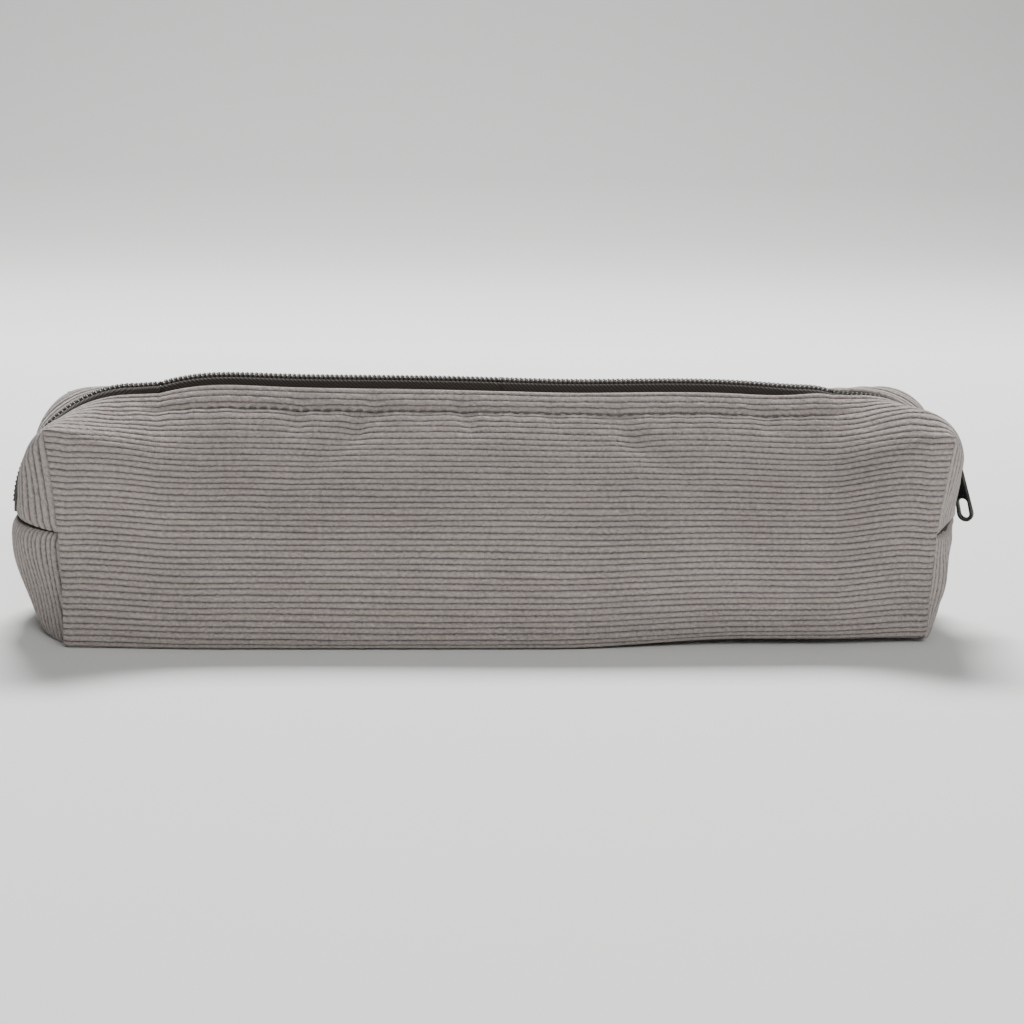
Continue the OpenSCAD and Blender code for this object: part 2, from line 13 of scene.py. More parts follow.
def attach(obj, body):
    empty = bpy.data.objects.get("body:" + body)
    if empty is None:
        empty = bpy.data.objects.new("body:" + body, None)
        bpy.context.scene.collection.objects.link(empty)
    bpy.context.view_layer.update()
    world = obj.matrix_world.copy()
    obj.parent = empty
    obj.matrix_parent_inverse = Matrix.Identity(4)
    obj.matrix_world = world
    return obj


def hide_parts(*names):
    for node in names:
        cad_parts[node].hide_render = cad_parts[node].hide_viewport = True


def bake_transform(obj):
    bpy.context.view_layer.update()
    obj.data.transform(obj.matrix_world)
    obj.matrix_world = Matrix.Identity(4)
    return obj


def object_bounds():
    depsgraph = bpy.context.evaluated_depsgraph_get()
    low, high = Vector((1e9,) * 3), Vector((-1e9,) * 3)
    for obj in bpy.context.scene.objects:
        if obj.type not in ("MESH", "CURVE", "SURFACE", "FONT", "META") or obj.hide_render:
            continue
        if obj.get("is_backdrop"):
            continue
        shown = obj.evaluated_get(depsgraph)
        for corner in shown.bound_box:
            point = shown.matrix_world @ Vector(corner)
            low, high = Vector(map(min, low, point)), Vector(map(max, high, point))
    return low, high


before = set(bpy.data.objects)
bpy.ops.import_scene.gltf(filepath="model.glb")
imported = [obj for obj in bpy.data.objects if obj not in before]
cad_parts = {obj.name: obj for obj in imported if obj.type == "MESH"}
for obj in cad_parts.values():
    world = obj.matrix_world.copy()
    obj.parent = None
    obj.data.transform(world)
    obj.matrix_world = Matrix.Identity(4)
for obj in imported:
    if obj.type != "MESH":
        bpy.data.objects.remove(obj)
cad_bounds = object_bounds()

MM = 0.001

# The case
HALF_TOP = 109.8
HALF_BASE = 105.6
HALF_DEPTH = 27.5
CORNER_Z = 53.0
CORNER_POWER = 2.2
LIFT = 1.6
CREASE = 0.7
SLOT = 4.6
MOUTH = 84.0
SEAM_Z = 27.5
# Swell of the lower left (-1) and right (1) end, and its roundness
SWELLS = {-1: 14.3, 1: 9.4}
END_POWER = 3.0
FOOT_TUCK = 0.45
END_Y = 26.3

# The layers
CLOTH_T = 1.1
TAPE_T = 0.5
TAPE_DEPTH = 1.55
PADDING_DEPTH = 1.75
PADDING_T = 1.9
LINING_T = 0.45
LINING_DEPTH = 4.25
LIP_LINING_DEPTH = 1.95
EDGE_DEPTH = 1.75
EDGE_T = 0.85
END_LINING_DEPTH = 3.15
LINING_FOOT = LINING_DEPTH + LINING_T + 0.3
LAYER_MARGIN = 4.6

# The cords of the cloth
PITCH = 1.6
CORD_H = 0.48
CORD_ROUNDNESS = 5.0
TOP_CORDS = 10
WALL_CORDS = 34.3

# Cloth edges that are turned under, as (how far in the roll starts, how deep it goes)
ZIP_ROLL = (0.95, 0.55)
FOOT_ROLL = (0.9, 0.45)
CORNER_ROLL = (1.1, 0.5)
SEAM_ROLL = (1.2, 0.6)
END_FOOT_ROLL = (1.2, 0.5)
BASE_ROLL = (0.8, 0.4)

# The zip
ZIP_Z = 58.0
ZIP_CREST = 3.4
EDGE_SINK = 3.0
LEFT_SINK = 2.4
COIL_LOOPS = 72
COIL_PITCH = MOUTH / COIL_LOOPS
WIRE_R = 0.36
MOUTH_WIRE_R = 0.42
COIL_RISE = 0.44
# A coil reaches from its tape to a little past the middle, where the two mesh
COIL_REACH = 2.1
COIL_INNER = -0.35
CORE_R = 0.6
CORE_SHIFT = 0.1
MOUTH_COIL_START = 0.1
END_COIL_START = 0.55
LOOP_POINTS = 14
# Under the slider the tape and the coil are slimmer, for its channel's sake
RIGHT_TAPE_T = 0.34
RIGHT_COIL_RISE = 0.32
RIGHT_COIL_INNER = 0.32
RIGHT_WIRE_R = 0.24
RIGHT_CORE_R = 0.4
# X of the upright tape at the left (-1) and right (1) end, and the radius of its bend
BENDS = {-1: (120.0, 30.0), 1: (115.8, 25.0)}
# The tape's gap under the cloth, and the shares in which it crosses to the coil
TAPE_GAP = 0.05
TAPE_CROSSING = (0.35, 0.7, 1.0)

# The row of stitches
STITCH_ARC = 6.7
STITCH_STEP = 2.6
STITCH_L = 1.75
STITCH_START = 0.25
STITCH_POINTS = 7
THREAD_R = 0.24
# Front stitches between these X stand out, the others lie sunk in the pile
STITCH_SEEN = (-62, -2)
STITCH_OUT = 0.34
STITCH_BURY = 0.30
# Coils and stitches stop this far from the end of their run
RUN_MARGIN = 1.5


def ramp(a, b, x):
    """Smooth step from 0 at a to 1 at b."""
    t = np.clip((x - a) / (b - a), 0, 1)
    return t * t * (3 - 2 * t)


def bump(x, middle, width):
    return np.exp(-(((x - middle) / width) ** 2))


def mix(a, b, share):
    return a + (b - a) * share


# Humps and dip of the zip along the case, as (height, place, width)
ZIP_HUMPS = ((1.6, -76, 18), (1.0, 82, 7), (-0.6, 18, 22))


def zip_wave(x):
    return sum(height * bump(x, place, width) for height, place, width in ZIP_HUMPS)


def zip_z(x):
    """Height of the zip: a crest over the mouth, with its humps."""
    return ZIP_Z + ZIP_CREST * (1 - np.minimum(1, np.abs(x) / MOUTH) ** 6) + zip_wave(x)


def edge_sink(x):
    """How far the cloth edge lies below the zip: less at the left end, none at the right end."""
    left = mix(EDGE_SINK, LEFT_SINK, np.clip(-x / 90, 0, 1) ** 2)
    return np.where(x < 0, left, EDGE_SINK * ramp(100, 62, x))


def edge_z(x):
    return zip_z(x) + TAPE_DEPTH - edge_sink(x)


def corner_x(z):
    """Half length of the case at a height of its upright edges."""
    return HALF_BASE + (HALF_TOP - HALF_BASE) * (np.clip(z, 0, CORNER_Z) / CORNER_Z) ** CORNER_POWER


def lift(x):
    """How far the bottom edge of the front stands off the table."""
    return LIFT * ramp(12, 60, x)


# Loose cloth of the middle, as a curve with four points from the foot to the zip: how far the
# first two stand out at the left and at the right, how far the third does, and two heights
FOOT_OUT, BELLY_OUT, UPPER_OUT = (32.3, 29.3), (35.5, 34.3), 20.1
BELLY_Z, UPPER_Z = 22.3, 44
LEFT_TO_RIGHT = (8, 60)
# Where it turns into a box with corners, by side: from and to, at the left and right
BOXED_FROM = {-1: (70, 78), 1: (25, 40)}
BOXED_TO = {-1: (110, 107), 1: (100, 100)}
BOX_SOFTNESS = 0.06
LEFT_FOOT_OUT = 3.0
# Tuck above the base: its height and how far it goes in
TUCK_H, TUCK_IN = 3.5, 1.5
# Height of the puffed edge behind each top corner, left and right, and its profile
RIDGE_HEIGHTS = {-1: (0.0, 2.2), 1: (0.8, 1.6)}
RIDGE_GAIN, RIDGE_POWER = 1.6, 1.6


def box_section(x, t, side, low, top):
    """Boxed cloth as (y, z) arrays: up the wall to the corner, then level to the zip."""
    up = np.clip(t / CREASE, 0, 1)
    over = np.clip((t - CREASE) / (1 - CREASE), 0, 1)
    left_foot = LEFT_FOOT_OUT * ramp(-30, -90, x) * (1 - up) ** 2
    height = np.where(x < 0, *RIDGE_HEIGHTS[side]) * ramp(110.5, 100, np.abs(x))
    y = mix(-HALF_DEPTH - left_foot, -SLOT, over)
    z = mix(mix(low, CORNER_Z, up), top, over)
    return y, z + RIDGE_GAIN * height * np.sin(np.pi * over) ** RIDGE_POWER * np.sqrt(1 - over)


def cloth_section(s, t, side):
    """Unfolded cloth as (x, y, z) arrays, from shares of the half length and of the way up."""
    x = s * np.where(t < CREASE, corner_x(CORNER_Z * t / CREASE), HALF_TOP)
    top = edge_z(x)
    low = lift(x) if side < 0 else 0 * x
    foot = mix(*FOOT_OUT, ramp(*LEFT_TO_RIGHT, x))
    belly = mix(*BELLY_OUT, ramp(*LEFT_TO_RIGHT, x))
    u = 1 - t
    slack_y = -(u**3 * foot + 3 * t * u * u * belly + 3 * t * t * u * UPPER_OUT + t**3 * SLOT)
    slack_z = u**3 * low + 3 * t * u * u * BELLY_Z + 3 * t * t * u * UPPER_Z + t**3 * top
    # The box's edges are rounded by taking the mean of it a little way up and down
    soft = BOX_SOFTNESS * ramp(109.5, 96, np.abs(x))
    around = [np.clip(t + k * soft, 0, 1) for k in (-1, -0.5, 0, 0.5, 1)]
    parts = [box_section(x, share, side, low, top) for share in around]
    inside = ramp(1, 0.93, t) * ramp(0, 0.07, t)
    box_y, box_z = (mix(parts[2][k], sum(part[k] for part in parts) / 5, inside) for k in (0, 1))
    w = ramp(np.where(x < 0, *BOXED_FROM[side]), np.where(x < 0, *BOXED_TO[side]), np.abs(x))
    y = mix(slack_y, box_y, w)
    z = mix(slack_z, box_z, w)
    tuck = np.clip(1 - (z - low) / TUCK_H, 0, 1)
    return x, y + TUCK_IN * tuck * tuck, z


# Creases as (x, arc of one end, x, arc of the other, width, depth), an arc runs from the zip
FRONT_CREASES = (
    (-48.6, 5.5, -50.0, 12.0, 2.6, 0.75),
    (-30.9, 5.5, -36.0, 13.0, 2.6, 0.8),
    (-36.0, 13.0, -58.2, 33.0, 3.6, 0.55),
    (-9.3, 5.5, -8.0, 12.0, 2.6, 0.6),
    (29.0, 7.0, 33.0, 16.0, 2.8, 0.85),
    (33.0, 16.0, 46.0, 25.0, 3.6, 0.4),
    (64.4, 5.0, 66.0, 10.5, 2.4, 0.5),
    (86.0, 10.0, 98.0, 19.0, 3.2, 0.45),
    (-92.0, 9.0, -101.0, 18.0, 3.2, 0.5),
)
BACK_CREASES = (
    (-60.0, 6.0, -57.0, 14.0, 2.8, 0.8),
    (-20.0, 5.5, -24.0, 15.0, 3.0, 0.7),
    (12.0, 6.0, 10.0, 12.0, 2.6, 0.7),
    (10.0, 12.0, 34.0, 34.0, 3.8, 0.5),
    (52.0, 6.0, 55.0, 15.0, 2.8, 0.8),
)


def crease_depth(x, arc, creases):
    total = np.zeros(np.broadcast(x, arc).shape)
    for x0, a0, x1, a1, width, depth in creases:
        dx, da = x1 - x0, a1 - a0
        k = np.clip(((x - x0) * dx + (arc - a0) * da) / (dx * dx + da * da), 0, 1)
        far = (x - x0 - k * dx) ** 2 + (arc - a0 - k * da) ** 2
        total -= depth * np.exp(-far / width**2)
    return total


# Cloth from the zip to the crease at its corner line and from there to the foot
TOP_ARC, WALL_ARC = 21.5, 47
# Sets the small folds of the back apart from those of the front
BACK_SHIFT = 41.0
STITCH_GROOVE = 0.8


def folds(s, t, x, side):
    """How far the cloth stands out from its smooth shape."""
    on_top = (1 - t) / (1 - CREASE) * TOP_ARC
    arc = np.where(t > CREASE, on_top, TOP_ARC + (CREASE - t) / CREASE * WALL_ARC)
    shift = 0.0 if side < 0 else BACK_SHIFT
    sway = 0.5 * np.sin(x / 23 + 0.7 + shift) * bump(arc, 34, 16)
    sway += 0.22 * np.sin(x / 9.3 + 2.1 + shift) * bump(arc, 13, 7)
    pucker = 0.2 * np.sin(x / 1.35 + 1.6 * np.sin(x / 6.1 + shift)) * bump(arc, 8.5, 3.4)
    pucker += 0.1 * np.sin(x / 0.83 + 2.2 * np.sin(x / 11.0 + shift)) * bump(arc, 5, 2.2)
    groove = -STITCH_GROOVE * bump(arc, STITCH_ARC, 1.2) * ramp(MOUTH + 9, MOUTH - 4, np.abs(x))
    creased = crease_depth(x, arc, FRONT_CREASES if side < 0 else BACK_CREASES)
    free = (1 - np.abs(s) ** 6) * ramp(0, 0.06, t) * ramp(1, 0.985, t)
    return (sway + pucker + groove + creased) * free


def stack(x, y, z):
    return np.stack(np.broadcast_arrays(x, y, z), -1)


def unit(v):
    return v / np.maximum(np.linalg.norm(v, axis=-1, keepdims=True), 1e-9)


def skin(s, t, side=-1):
    """Outer face of the cloth at the front (side -1) or the back (side 1)."""
    s, t = np.broadcast_arrays(np.asarray(s, float), np.asarray(t, float))
    step = 0.004
    along = stack(*cloth_section(s + step, t, side)) - stack(*cloth_section(s - step, t, side))
    t_low, t_high = np.clip(t - step, 0, 1), np.clip(t + step, 0, 1)
    across = stack(*cloth_section(s, t_high, side)) - stack(*cloth_section(s, t_low, side))
    out = unit(np.cross(along, across))
    x, y, z = cloth_section(s, t, side)
    point = stack(x, y, z) + out * folds(s, t, x, side)[..., None]
    if side > 0:
        point[..., 1] *= -1
    return point


def normals(grid):
    """Unit normals of a grid of points, by differences."""
    return unit(np.cross(np.gradient(grid, axis=0), np.gradient(grid, axis=1)))


def outward(grid, centre=(0.0, 0.0, 30.0)):
    """Normals of a grid that point away from the middle of the case."""
    n = normals(grid)
    if np.sum(n * (grid - np.array(centre))) < 0:
        n = -n
    return n


def arcs(grid, axis):
    """Distance run along an axis of a grid from its first row."""
    steps = np.linalg.norm(np.diff(grid, axis=axis), axis=-1)
    total = np.cumsum(steps, axis=axis)
    return np.insert(total, 0, 0, axis=axis)


def to_scene(obj):
    bpy.context.scene.collection.objects.link(obj)


def link(obj, mats, slot):
    to_scene(obj)
    for m in mats:
        obj.data.materials.append(m)
    return obj


def build_mesh(name, verts, faces, uv, material_index, flat):
    mesh = bpy.data.meshes.new(name)
    mesh.from_pydata((verts * MM).tolist(), [], faces)
    layer = mesh.uv_layers.new(name="mm")
    corner = np.zeros(len(mesh.loops), np.int32)
    mesh.loops.foreach_get("vertex_index", corner)
    layer.data.foreach_set("uv", uv[corner].astype(np.float32).ravel())
    mesh.polygons.foreach_set("material_index", np.asarray(material_index, np.int32))
    mesh.polygons.foreach_set("use_smooth", ~np.asarray(flat, bool))
    mesh.update()
    return bpy.data.objects.new(name, mesh)


def shell(name, outer, inner, uv, mats, slot):
    """Closed layer between a fine outer grid and an inner one with the same or fewer cells."""
    rows, cols = outer.shape[:2]
    low_rows, low_cols = inner.shape[:2]
    row_m, col_m = (rows - 1) // (low_rows - 1), (cols - 1) // (low_cols - 1)
    top = np.arange(rows * cols).reshape(rows, cols)
    low = rows * cols + np.arange(low_rows * low_cols).reshape(low_rows, low_cols)
    quads = np.stack([top[:-1, :-1], top[:-1, 1:], top[1:, 1:], top[1:, :-1]], -1).reshape(-1, 4)
    quads_low = np.stack([low[:-1, :-1], low[1:, :-1], low[1:, 1:], low[:-1, 1:]], -1)
    quads_low = quads_low.reshape(-1, 4)
    rims = rim_faces(top[0][::-1], low[0][::-1]) + rim_faces(top[-1], low[-1])
    rims += rim_faces(top[:, 0], low[:, 0]) + rim_faces(top[:, -1][::-1], low[:, -1][::-1])
    verts = np.concatenate([outer.reshape(-1, 3), inner.reshape(-1, 3)])
    picked = inner_pick(rows, cols, low_rows, low_cols)
    all_uv = np.concatenate([uv.reshape(-1, 2), uv.reshape(-1, 2)[picked]])
    faces = quads.tolist() + quads_low.tolist() + [[int(i) for i in r] for r in rims]
    p = verts[quads]
    face_n = np.cross(p[:, 2] - p[:, 0], p[:, 3] - p[:, 1])
    out = outer[::row_m, ::col_m] - inner
    quad_n = face_n.reshape(rows - 1, cols - 1, 3)[::row_m, ::col_m]
    if np.sum(quad_n * out[: quad_n.shape[0], : quad_n.shape[1]]) < 0:
        faces = [f[::-1] for f in faces]
    index = [0] * len(quads) + [len(mats) - 1] * (len(quads_low) + len(rims))
    flat = [False] * (len(quads) + len(quads_low)) + [True] * len(rims)
    return link(build_mesh(name, verts, faces, all_uv, index, flat), mats, slot)


def rim_faces(fine, coarse):
    """Triangles between a fine edge and the coarse edge that runs beside it."""
    m = (len(fine) - 1) // (len(coarse) - 1)
    found = []
    for k in range(len(coarse) - 1):
        half = k * m + m // 2
        for i in range(k * m, (k + 1) * m):
            found.append([fine[i], fine[i + 1], coarse[k if i < half else k + 1]])
        found.append([fine[half], coarse[k + 1], coarse[k]])
    return found


def inner_pick(rows, cols, low_rows, low_cols):
    """Numbers of the fine grid's points that the coarse grid shares."""
    row_m, col_m = (rows - 1) // (low_rows - 1), (cols - 1) // (low_cols - 1)
    return (np.arange(rows)[::row_m, None] * cols + np.arange(cols)[None, ::col_m]).ravel()


def ribs(phase):
    """Height of the cords below their crowns, from the count of cords across."""
    part = phase - np.floor(phase)
    return -CORD_H * np.abs(2 * part - 1) ** CORD_ROUNDNESS


def rolled(distance, radius, depth):
    """Drop of a cloth edge that is turned under, by distance from the edge."""
    return -depth * np.clip(1 - distance / radius, 0, 1) ** 2


def cord_wander(along, number):
    """Slight drift and uneven spacing of the cords, in cords."""
    drift = 0.10 * np.sin(along / 37 + number / 9.0) + 0.05 * np.sin(along / 13 + number / 3.1)
    drift += 0.05 * np.sin(along / 4.7 + number * 2.7) * np.sin(along / 17 + number * 1.3)
    return drift + 0.06 * np.sin(number * 1.9 + along / 61)


def ribbed(grid, out, along, number, edges):
    """Face of the cloth with its cords and rolled edges, and the count of cords with its drift."""
    number = number + cord_wander(along, number)
    height = ribs(number)
    for distance, radius, depth in edges:
        height = height + rolled(distance, radius, depth)
    return grid + out * height[..., None], number


# Fine cells of the outer face to one of the inner face, along and across
SHEET_COARSE = (6, 10)
END_COARSE = (3, 5)


def cloth_shell(name, grid, out, along, number, edges, coarse):
    """Cloth layer with real cords, along in mm, and (distance, reach, depth) for each edge."""
    outer, number = ribbed(grid, out, along, number, edges)
    row_m, col_m = coarse
    inner = (grid - out * CLOTH_T)[::row_m, ::col_m]
    return shell(name, outer, inner, np.stack([along, number], -1), CLOTH, "cloth")


def plain_shell(name, grid, depth, thickness, mats, slot):
    """Even layer a depth below a grid, with UVs in mm."""
    out = outward(grid)
    outer, inner = grid - out * depth, grid - out * (depth + thickness)
    uv = np.stack([arcs(grid, 0), arcs(grid, 1)], -1)
    return shell(name, outer, inner, uv, mats, slot)


# Radius of a tube's two end rings, as a share of its own
TUBE_TIP = 0.45


def tube_mesh(name, paths, radius, sides, mats, slot):
    """Round tubes along several paths, each an (n, 3) array, as one mesh with rounded-off ends."""
    verts, faces, uvs, base = [], [], [], 0
    ring = np.linspace(0, 2 * np.pi, sides, endpoint=False)
    for path in paths:
        n = len(path)
        tangent = unit(np.gradient(path, axis=0))
        # A little off upright, so that no tube runs along it
        hint = np.array([0.01, 0.004, 1.0])
        side = unit(np.cross(tangent, hint))
        up = np.cross(side, tangent)
        r = np.full(n, radius)
        r[0] = r[-1] = radius * TUBE_TIP
        off = side[:, None] * np.cos(ring)[None, :, None]
        off = off + up[:, None] * np.sin(ring)[None, :, None]
        verts.append((path[:, None] + off * r[:, None, None]).reshape(-1, 3))
        length = arcs(path[:, None], 0)[:, 0]
        uvs.append(np.stack([np.repeat(length, sides), np.tile(ring, n)], -1))
        k = np.arange(n * sides).reshape(n, sides) + base
        nxt = np.roll(k, -1, axis=1)
        faces += np.stack([k[:-1], nxt[:-1], nxt[1:], k[1:]], -1).reshape(-1, 4).tolist()
        faces.append(k[0][::-1].tolist())
        faces.append(k[-1].tolist())
        base += n * sides
    verts, uv = np.concatenate(verts), np.concatenate(uvs)
    none = [0] * len(faces)
    return link(build_mesh(name, verts, faces, uv, none, none), mats, slot)


# Materials


def srgb(r, g, b):
    """Linear colour of a tone given as 0 to 255."""
    return (*[((c / 255 + 0.055) / 1.055) ** 2.4 if c > 10 else c / 3295 for c in (r, g, b)], 1)


class Paint:
    """Short hand for a node material with one Principled shader."""

    def __init__(self, name, **sockets):
        self.mat = bpy.data.materials.new(name)
        self.mat.use_nodes = True
        self.tree = self.mat.node_tree
        self.shader = self.tree.nodes["Principled BSDF"]
        for key, value in sockets.items():
            self.shader.inputs[SOCKETS[key]].default_value = value

    def add(self, kind, inputs=(), **settings):
        node = self.tree.nodes.new("ShaderNode" + kind)
        for key, value in settings.items():
            setattr(node, key, value)
        for key, value in dict(inputs).items():
            node.inputs[key].default_value = value
        return node

    def wire(self, a, b):
        self.tree.links.new(a, b)

    def uv(self, u_scale, v_scale, shift=0.0):
        """UV coordinates in mm and cords, scaled, as a vector."""
        coord = self.add("UVMap", uv_map="mm")
        scale, place = (u_scale, v_scale, 1), (shift, shift * 0.7, shift)
        mapping = self.add("Mapping", {"Scale": scale, "Location": place})
        self.wire(coord.outputs[0], mapping.inputs[0])
        return mapping.outputs[0]

    def noise(self, vector, scale, detail=2.0, roughness=0.5):
        inputs = {"Scale": scale, "Detail": detail, "Roughness": roughness}
        node = self.add("TexNoise", inputs)
        self.wire(vector, node.inputs["Vector"])
        return node.outputs[0]

    def math(self, operation, a, b=0.5, c=0.5, clamp=False):
        node = self.add("Math", operation=operation, use_clamp=clamp)
        for k, value in enumerate((a, b, c)):
            if isinstance(value, (int, float)):
                node.inputs[k].default_value = value
            else:
                self.wire(value, node.inputs[k])
        return node.outputs[0]

    def span(self, value, low, high, to_low, to_high):
        ends = {"From Min": low, "From Max": high, "To Min": to_low, "To Max": to_high}
        node = self.add("MapRange", ends)
        self.wire(value, node.inputs["Value"])
        return node.outputs[0]

    def blend_colour(self, share, a, b, kind="MIX"):
        node = self.add("Mix", data_type="RGBA", blend_type=kind)
        for key, value in (("Factor", share), (6, a), (7, b)):
            if isinstance(value, (int, float, tuple)):
                node.inputs[key].default_value = value
            else:
                self.wire(value, node.inputs[key])
        return node.outputs[2]

    def bump(self, height, distance, strength, below=None):
        node = self.add("Bump", {"Distance": distance, "Strength": strength})
        self.wire(height, node.inputs["Height"])
        if below is not None:
            self.wire(below, node.inputs["Normal"])
        return node.outputs[0]

    def finish(self, colour, normal=None, roughness=None):
        self.wire(colour, self.shader.inputs["Base Color"])
        if normal is not None:
            self.wire(normal, self.shader.inputs["Normal"])
        if roughness is not None:
            self.wire(roughness, self.shader.inputs["Roughness"])
        return self.mat


SOCKETS = {
    "roughness": "Roughness",
    "metallic": "Metallic",
    "specular": "Specular IOR Level",
    "sheen": "Sheen Weight",
    "sheen_roughness": "Sheen Roughness",
    "coat": "Coat Weight",
    "coat_roughness": "Coat Roughness",
}


def corduroy(name, crown, groove, rib_shade=1.0):
    """Fine corduroy: pale worn crowns, grooves darker partly by painted shade, cut pile, light
    specks and soft mottling.
    """
    p = Paint(name, roughness=0.95, specular=0.15, sheen=0.35, sheen_roughness=0.45)
    split = p.add("SeparateXYZ")
    coord = p.add("UVMap", uv_map="mm")
    p.wire(coord.outputs[0], split.inputs[0])
    rough_edge = p.noise(p.uv(1.1, 1.6), 1.0, 3.0, 0.6)
    wobble = p.span(rough_edge, 0.25, 0.75, -0.09, 0.09)
    part = p.math("FRACT", p.math("ADD", split.outputs[1], wobble))
    ridge = p.math("ABSOLUTE", p.math("SUBTRACT", p.math("MULTIPLY", part, 2.0), 1.0))
    # The grooves' darker colour is partly the cloth's own tone and partly painted shade
    groove_tone_and_painted_shade = p.math("MULTIPLY", p.math("POWER", ridge, 3.0), rib_shade, clamp=True)
    pile = p.noise(p.uv(1.0, 2.4), 1.0, 5.0, 0.72)
    speck = p.noise(p.uv(2.2, 3.4, 11.0), 1.0, 2.0, 0.7)
    patch = p.noise(p.uv(0.05, 0.08, 4.0), 1.0, 2.0, 0.5)
    colour = p.blend_colour(groove_tone_and_painted_shade, crown, groove)
    tone = p.math("ADD", p.span(pile, 0.36, 0.64, 0.76, 1.24), p.span(patch, 0.3, 0.7, -0.07, 0.07))
    tone = p.math("ADD", tone, p.span(speck, 0.57, 0.72, 0.0, 0.34))
    tone = p.math("SUBTRACT", tone, p.span(speck, 0.38, 0.24, 0.0, 0.26))
    grey = p.add("CombineXYZ")
    for k in range(3):
        p.wire(tone, grey.inputs[k])
    colour = p.blend_colour(1.0, colour, grey.outputs[0], "MULTIPLY")
    fine = p.bump(p.noise(p.uv(2.4, 3.6, 2.0), 1.0, 4.0, 0.7), 0.0005, 0.9)
    tufts = p.bump(p.noise(p.uv(0.75, 1.5, 7.0), 1.0, 2.0, 0.5), 0.0009, 0.7, fine)
    return p.finish(colour, tufts)


def woven(name, colour, shade, threads, **sockets):
    """Plain weave of a number of threads per mm, with uneven yarns."""
    p = Paint(name, **sockets)
    inputs = {"Scale": threads * 0.314, "Distortion": 0.6, "Detail": 1.0}
    warp, weft = (p.add("TexWave", inputs, bands_direction=axis) for axis in "XY")
    for wave in (warp, weft):
        p.wire(p.uv(1, 1), wave.inputs["Vector"])
    yarn = p.math("MULTIPLY", warp.outputs["Fac"], weft.outputs["Fac"])
    slub = p.noise(p.uv(0.8, 0.8, 3.0), 1.0, 3.0, 0.6)
    share = p.math("MULTIPLY", p.math("SUBTRACT", 1.0, yarn), p.span(slub, 0.3, 0.7, 0.35, 0.9))
    base = p.blend_colour(share, colour, shade)
    return p.finish(base, p.bump(yarn, 0.00015, 0.6))


def twill_tape():
    """Dark zip tape: fine diagonal ribs and slightly paler edges of the yarns."""
    p = Paint("zip_tape", roughness=0.8, specular=0.25, sheen=0.2, sheen_roughness=0.4)
    inputs = {"Scale": 0.62, "Distortion": 0.8}
    wave = p.add("TexWave", inputs, bands_direction="DIAGONAL")
    p.wire(p.uv(1, 1), wave.inputs["Vector"])
    grain = p.noise(p.uv(2, 2), 1.0, 3.0, 0.6)
    share = p.math("MULTIPLY", wave.outputs["Fac"], p.span(grain, 0.3, 0.7, 0.4, 1.0))
    colour = p.blend_colour(share, srgb(38, 33, 30), srgb(66, 59, 54))
    return p.finish(colour, p.bump(wave.outputs["Fac"], 0.00012, 0.6))


def nylon():
    """Brown nylon monofilament with a soft gloss; a painted rim light makes it slightly paler along
    edges seen at a slant.
    """
    p = Paint("zip_coil", roughness=0.42, specular=0.42, coat=0.05, coat_roughness=0.3)
    cloudy = p.noise(p.uv(0.7, 0.7), 1.0, 2.0, 0.5)
    # Painted rim light: faces seen at a slant get a paler colour from the view angle
    painted_rim_light = p.add("LayerWeight", {"Blend": 0.35})
    base = p.blend_colour(p.span(cloudy, 0.3, 0.7, 0.0, 1.0), srgb(40, 35, 31), srgb(60, 53, 46))
    colour = p.blend_colour(painted_rim_light.outputs["Facing"], base, srgb(68, 60, 53))
    return p.finish(colour, p.bump(cloudy, 0.00005, 0.3))


def sewing_thread():
    """Spun thread: its twist shows as slanted bands."""
    p = Paint("thread", roughness=0.7, specular=0.3, sheen=0.3, sheen_roughness=0.4)
    wave = p.add("TexWave", {"Scale": 1.4}, bands_direction="DIAGONAL")
    p.wire(p.uv(1, 1), wave.inputs["Vector"])
    colour = p.blend_colour(wave.outputs["Fac"], srgb(84, 78, 76), srgb(112, 105, 100))
    return p.finish(colour, p.bump(wave.outputs["Fac"], 0.00008, 0.5))


def foam():
    """Pale open foam sheet with small cells."""
    p = Paint("padding", roughness=0.9, specular=0.2)
    cells = p.add("TexVoronoi", {"Scale": 1.6})
    p.wire(p.uv(1, 1), cells.inputs["Vector"])
    shade = p.span(cells.outputs["Distance"], 0.0, 0.6, 0.0, 1.0)
    colour = p.blend_colour(shade, srgb(196, 192, 182), srgb(226, 223, 214))
    return p.finish(colour, p.bump(shade, 0.0002, 0.5))


def enamel():
    """Black-green enamelled metal: glossy, finely dimpled, worn paler along its edges."""
    p = Paint("enamelled_metal", metallic=0.35, specular=0.6, coat=0.6, coat_roughness=0.12)
    coord = p.add("TexCoord")
    spread = p.noise(coord.outputs["Object"], 420.0, 3.0, 0.6)
    bevel = p.add("Bevel", {"Radius": 0.00022})
    geometry = p.add("NewGeometry")
    dot = p.add("VectorMath", operation="DOT_PRODUCT")
    p.wire(bevel.outputs[0], dot.inputs[0])
    p.wire(geometry.outputs["Normal"], dot.inputs[1])
    edge = p.span(dot.outputs["Value"], 0.995, 0.85, 0.0, 1.0)
    worn = p.math("MULTIPLY", edge, p.span(spread, 0.42, 0.62, 0.15, 0.9), clamp=True)
    colour = p.blend_colour(worn, srgb(34, 38, 36), srgb(120, 118, 110))
    rough = p.span(spread, 0.3, 0.7, 0.24, 0.38)
    return p.finish(colour, p.bump(spread, 0.00004, 0.35, bevel.outputs[0]), rough)
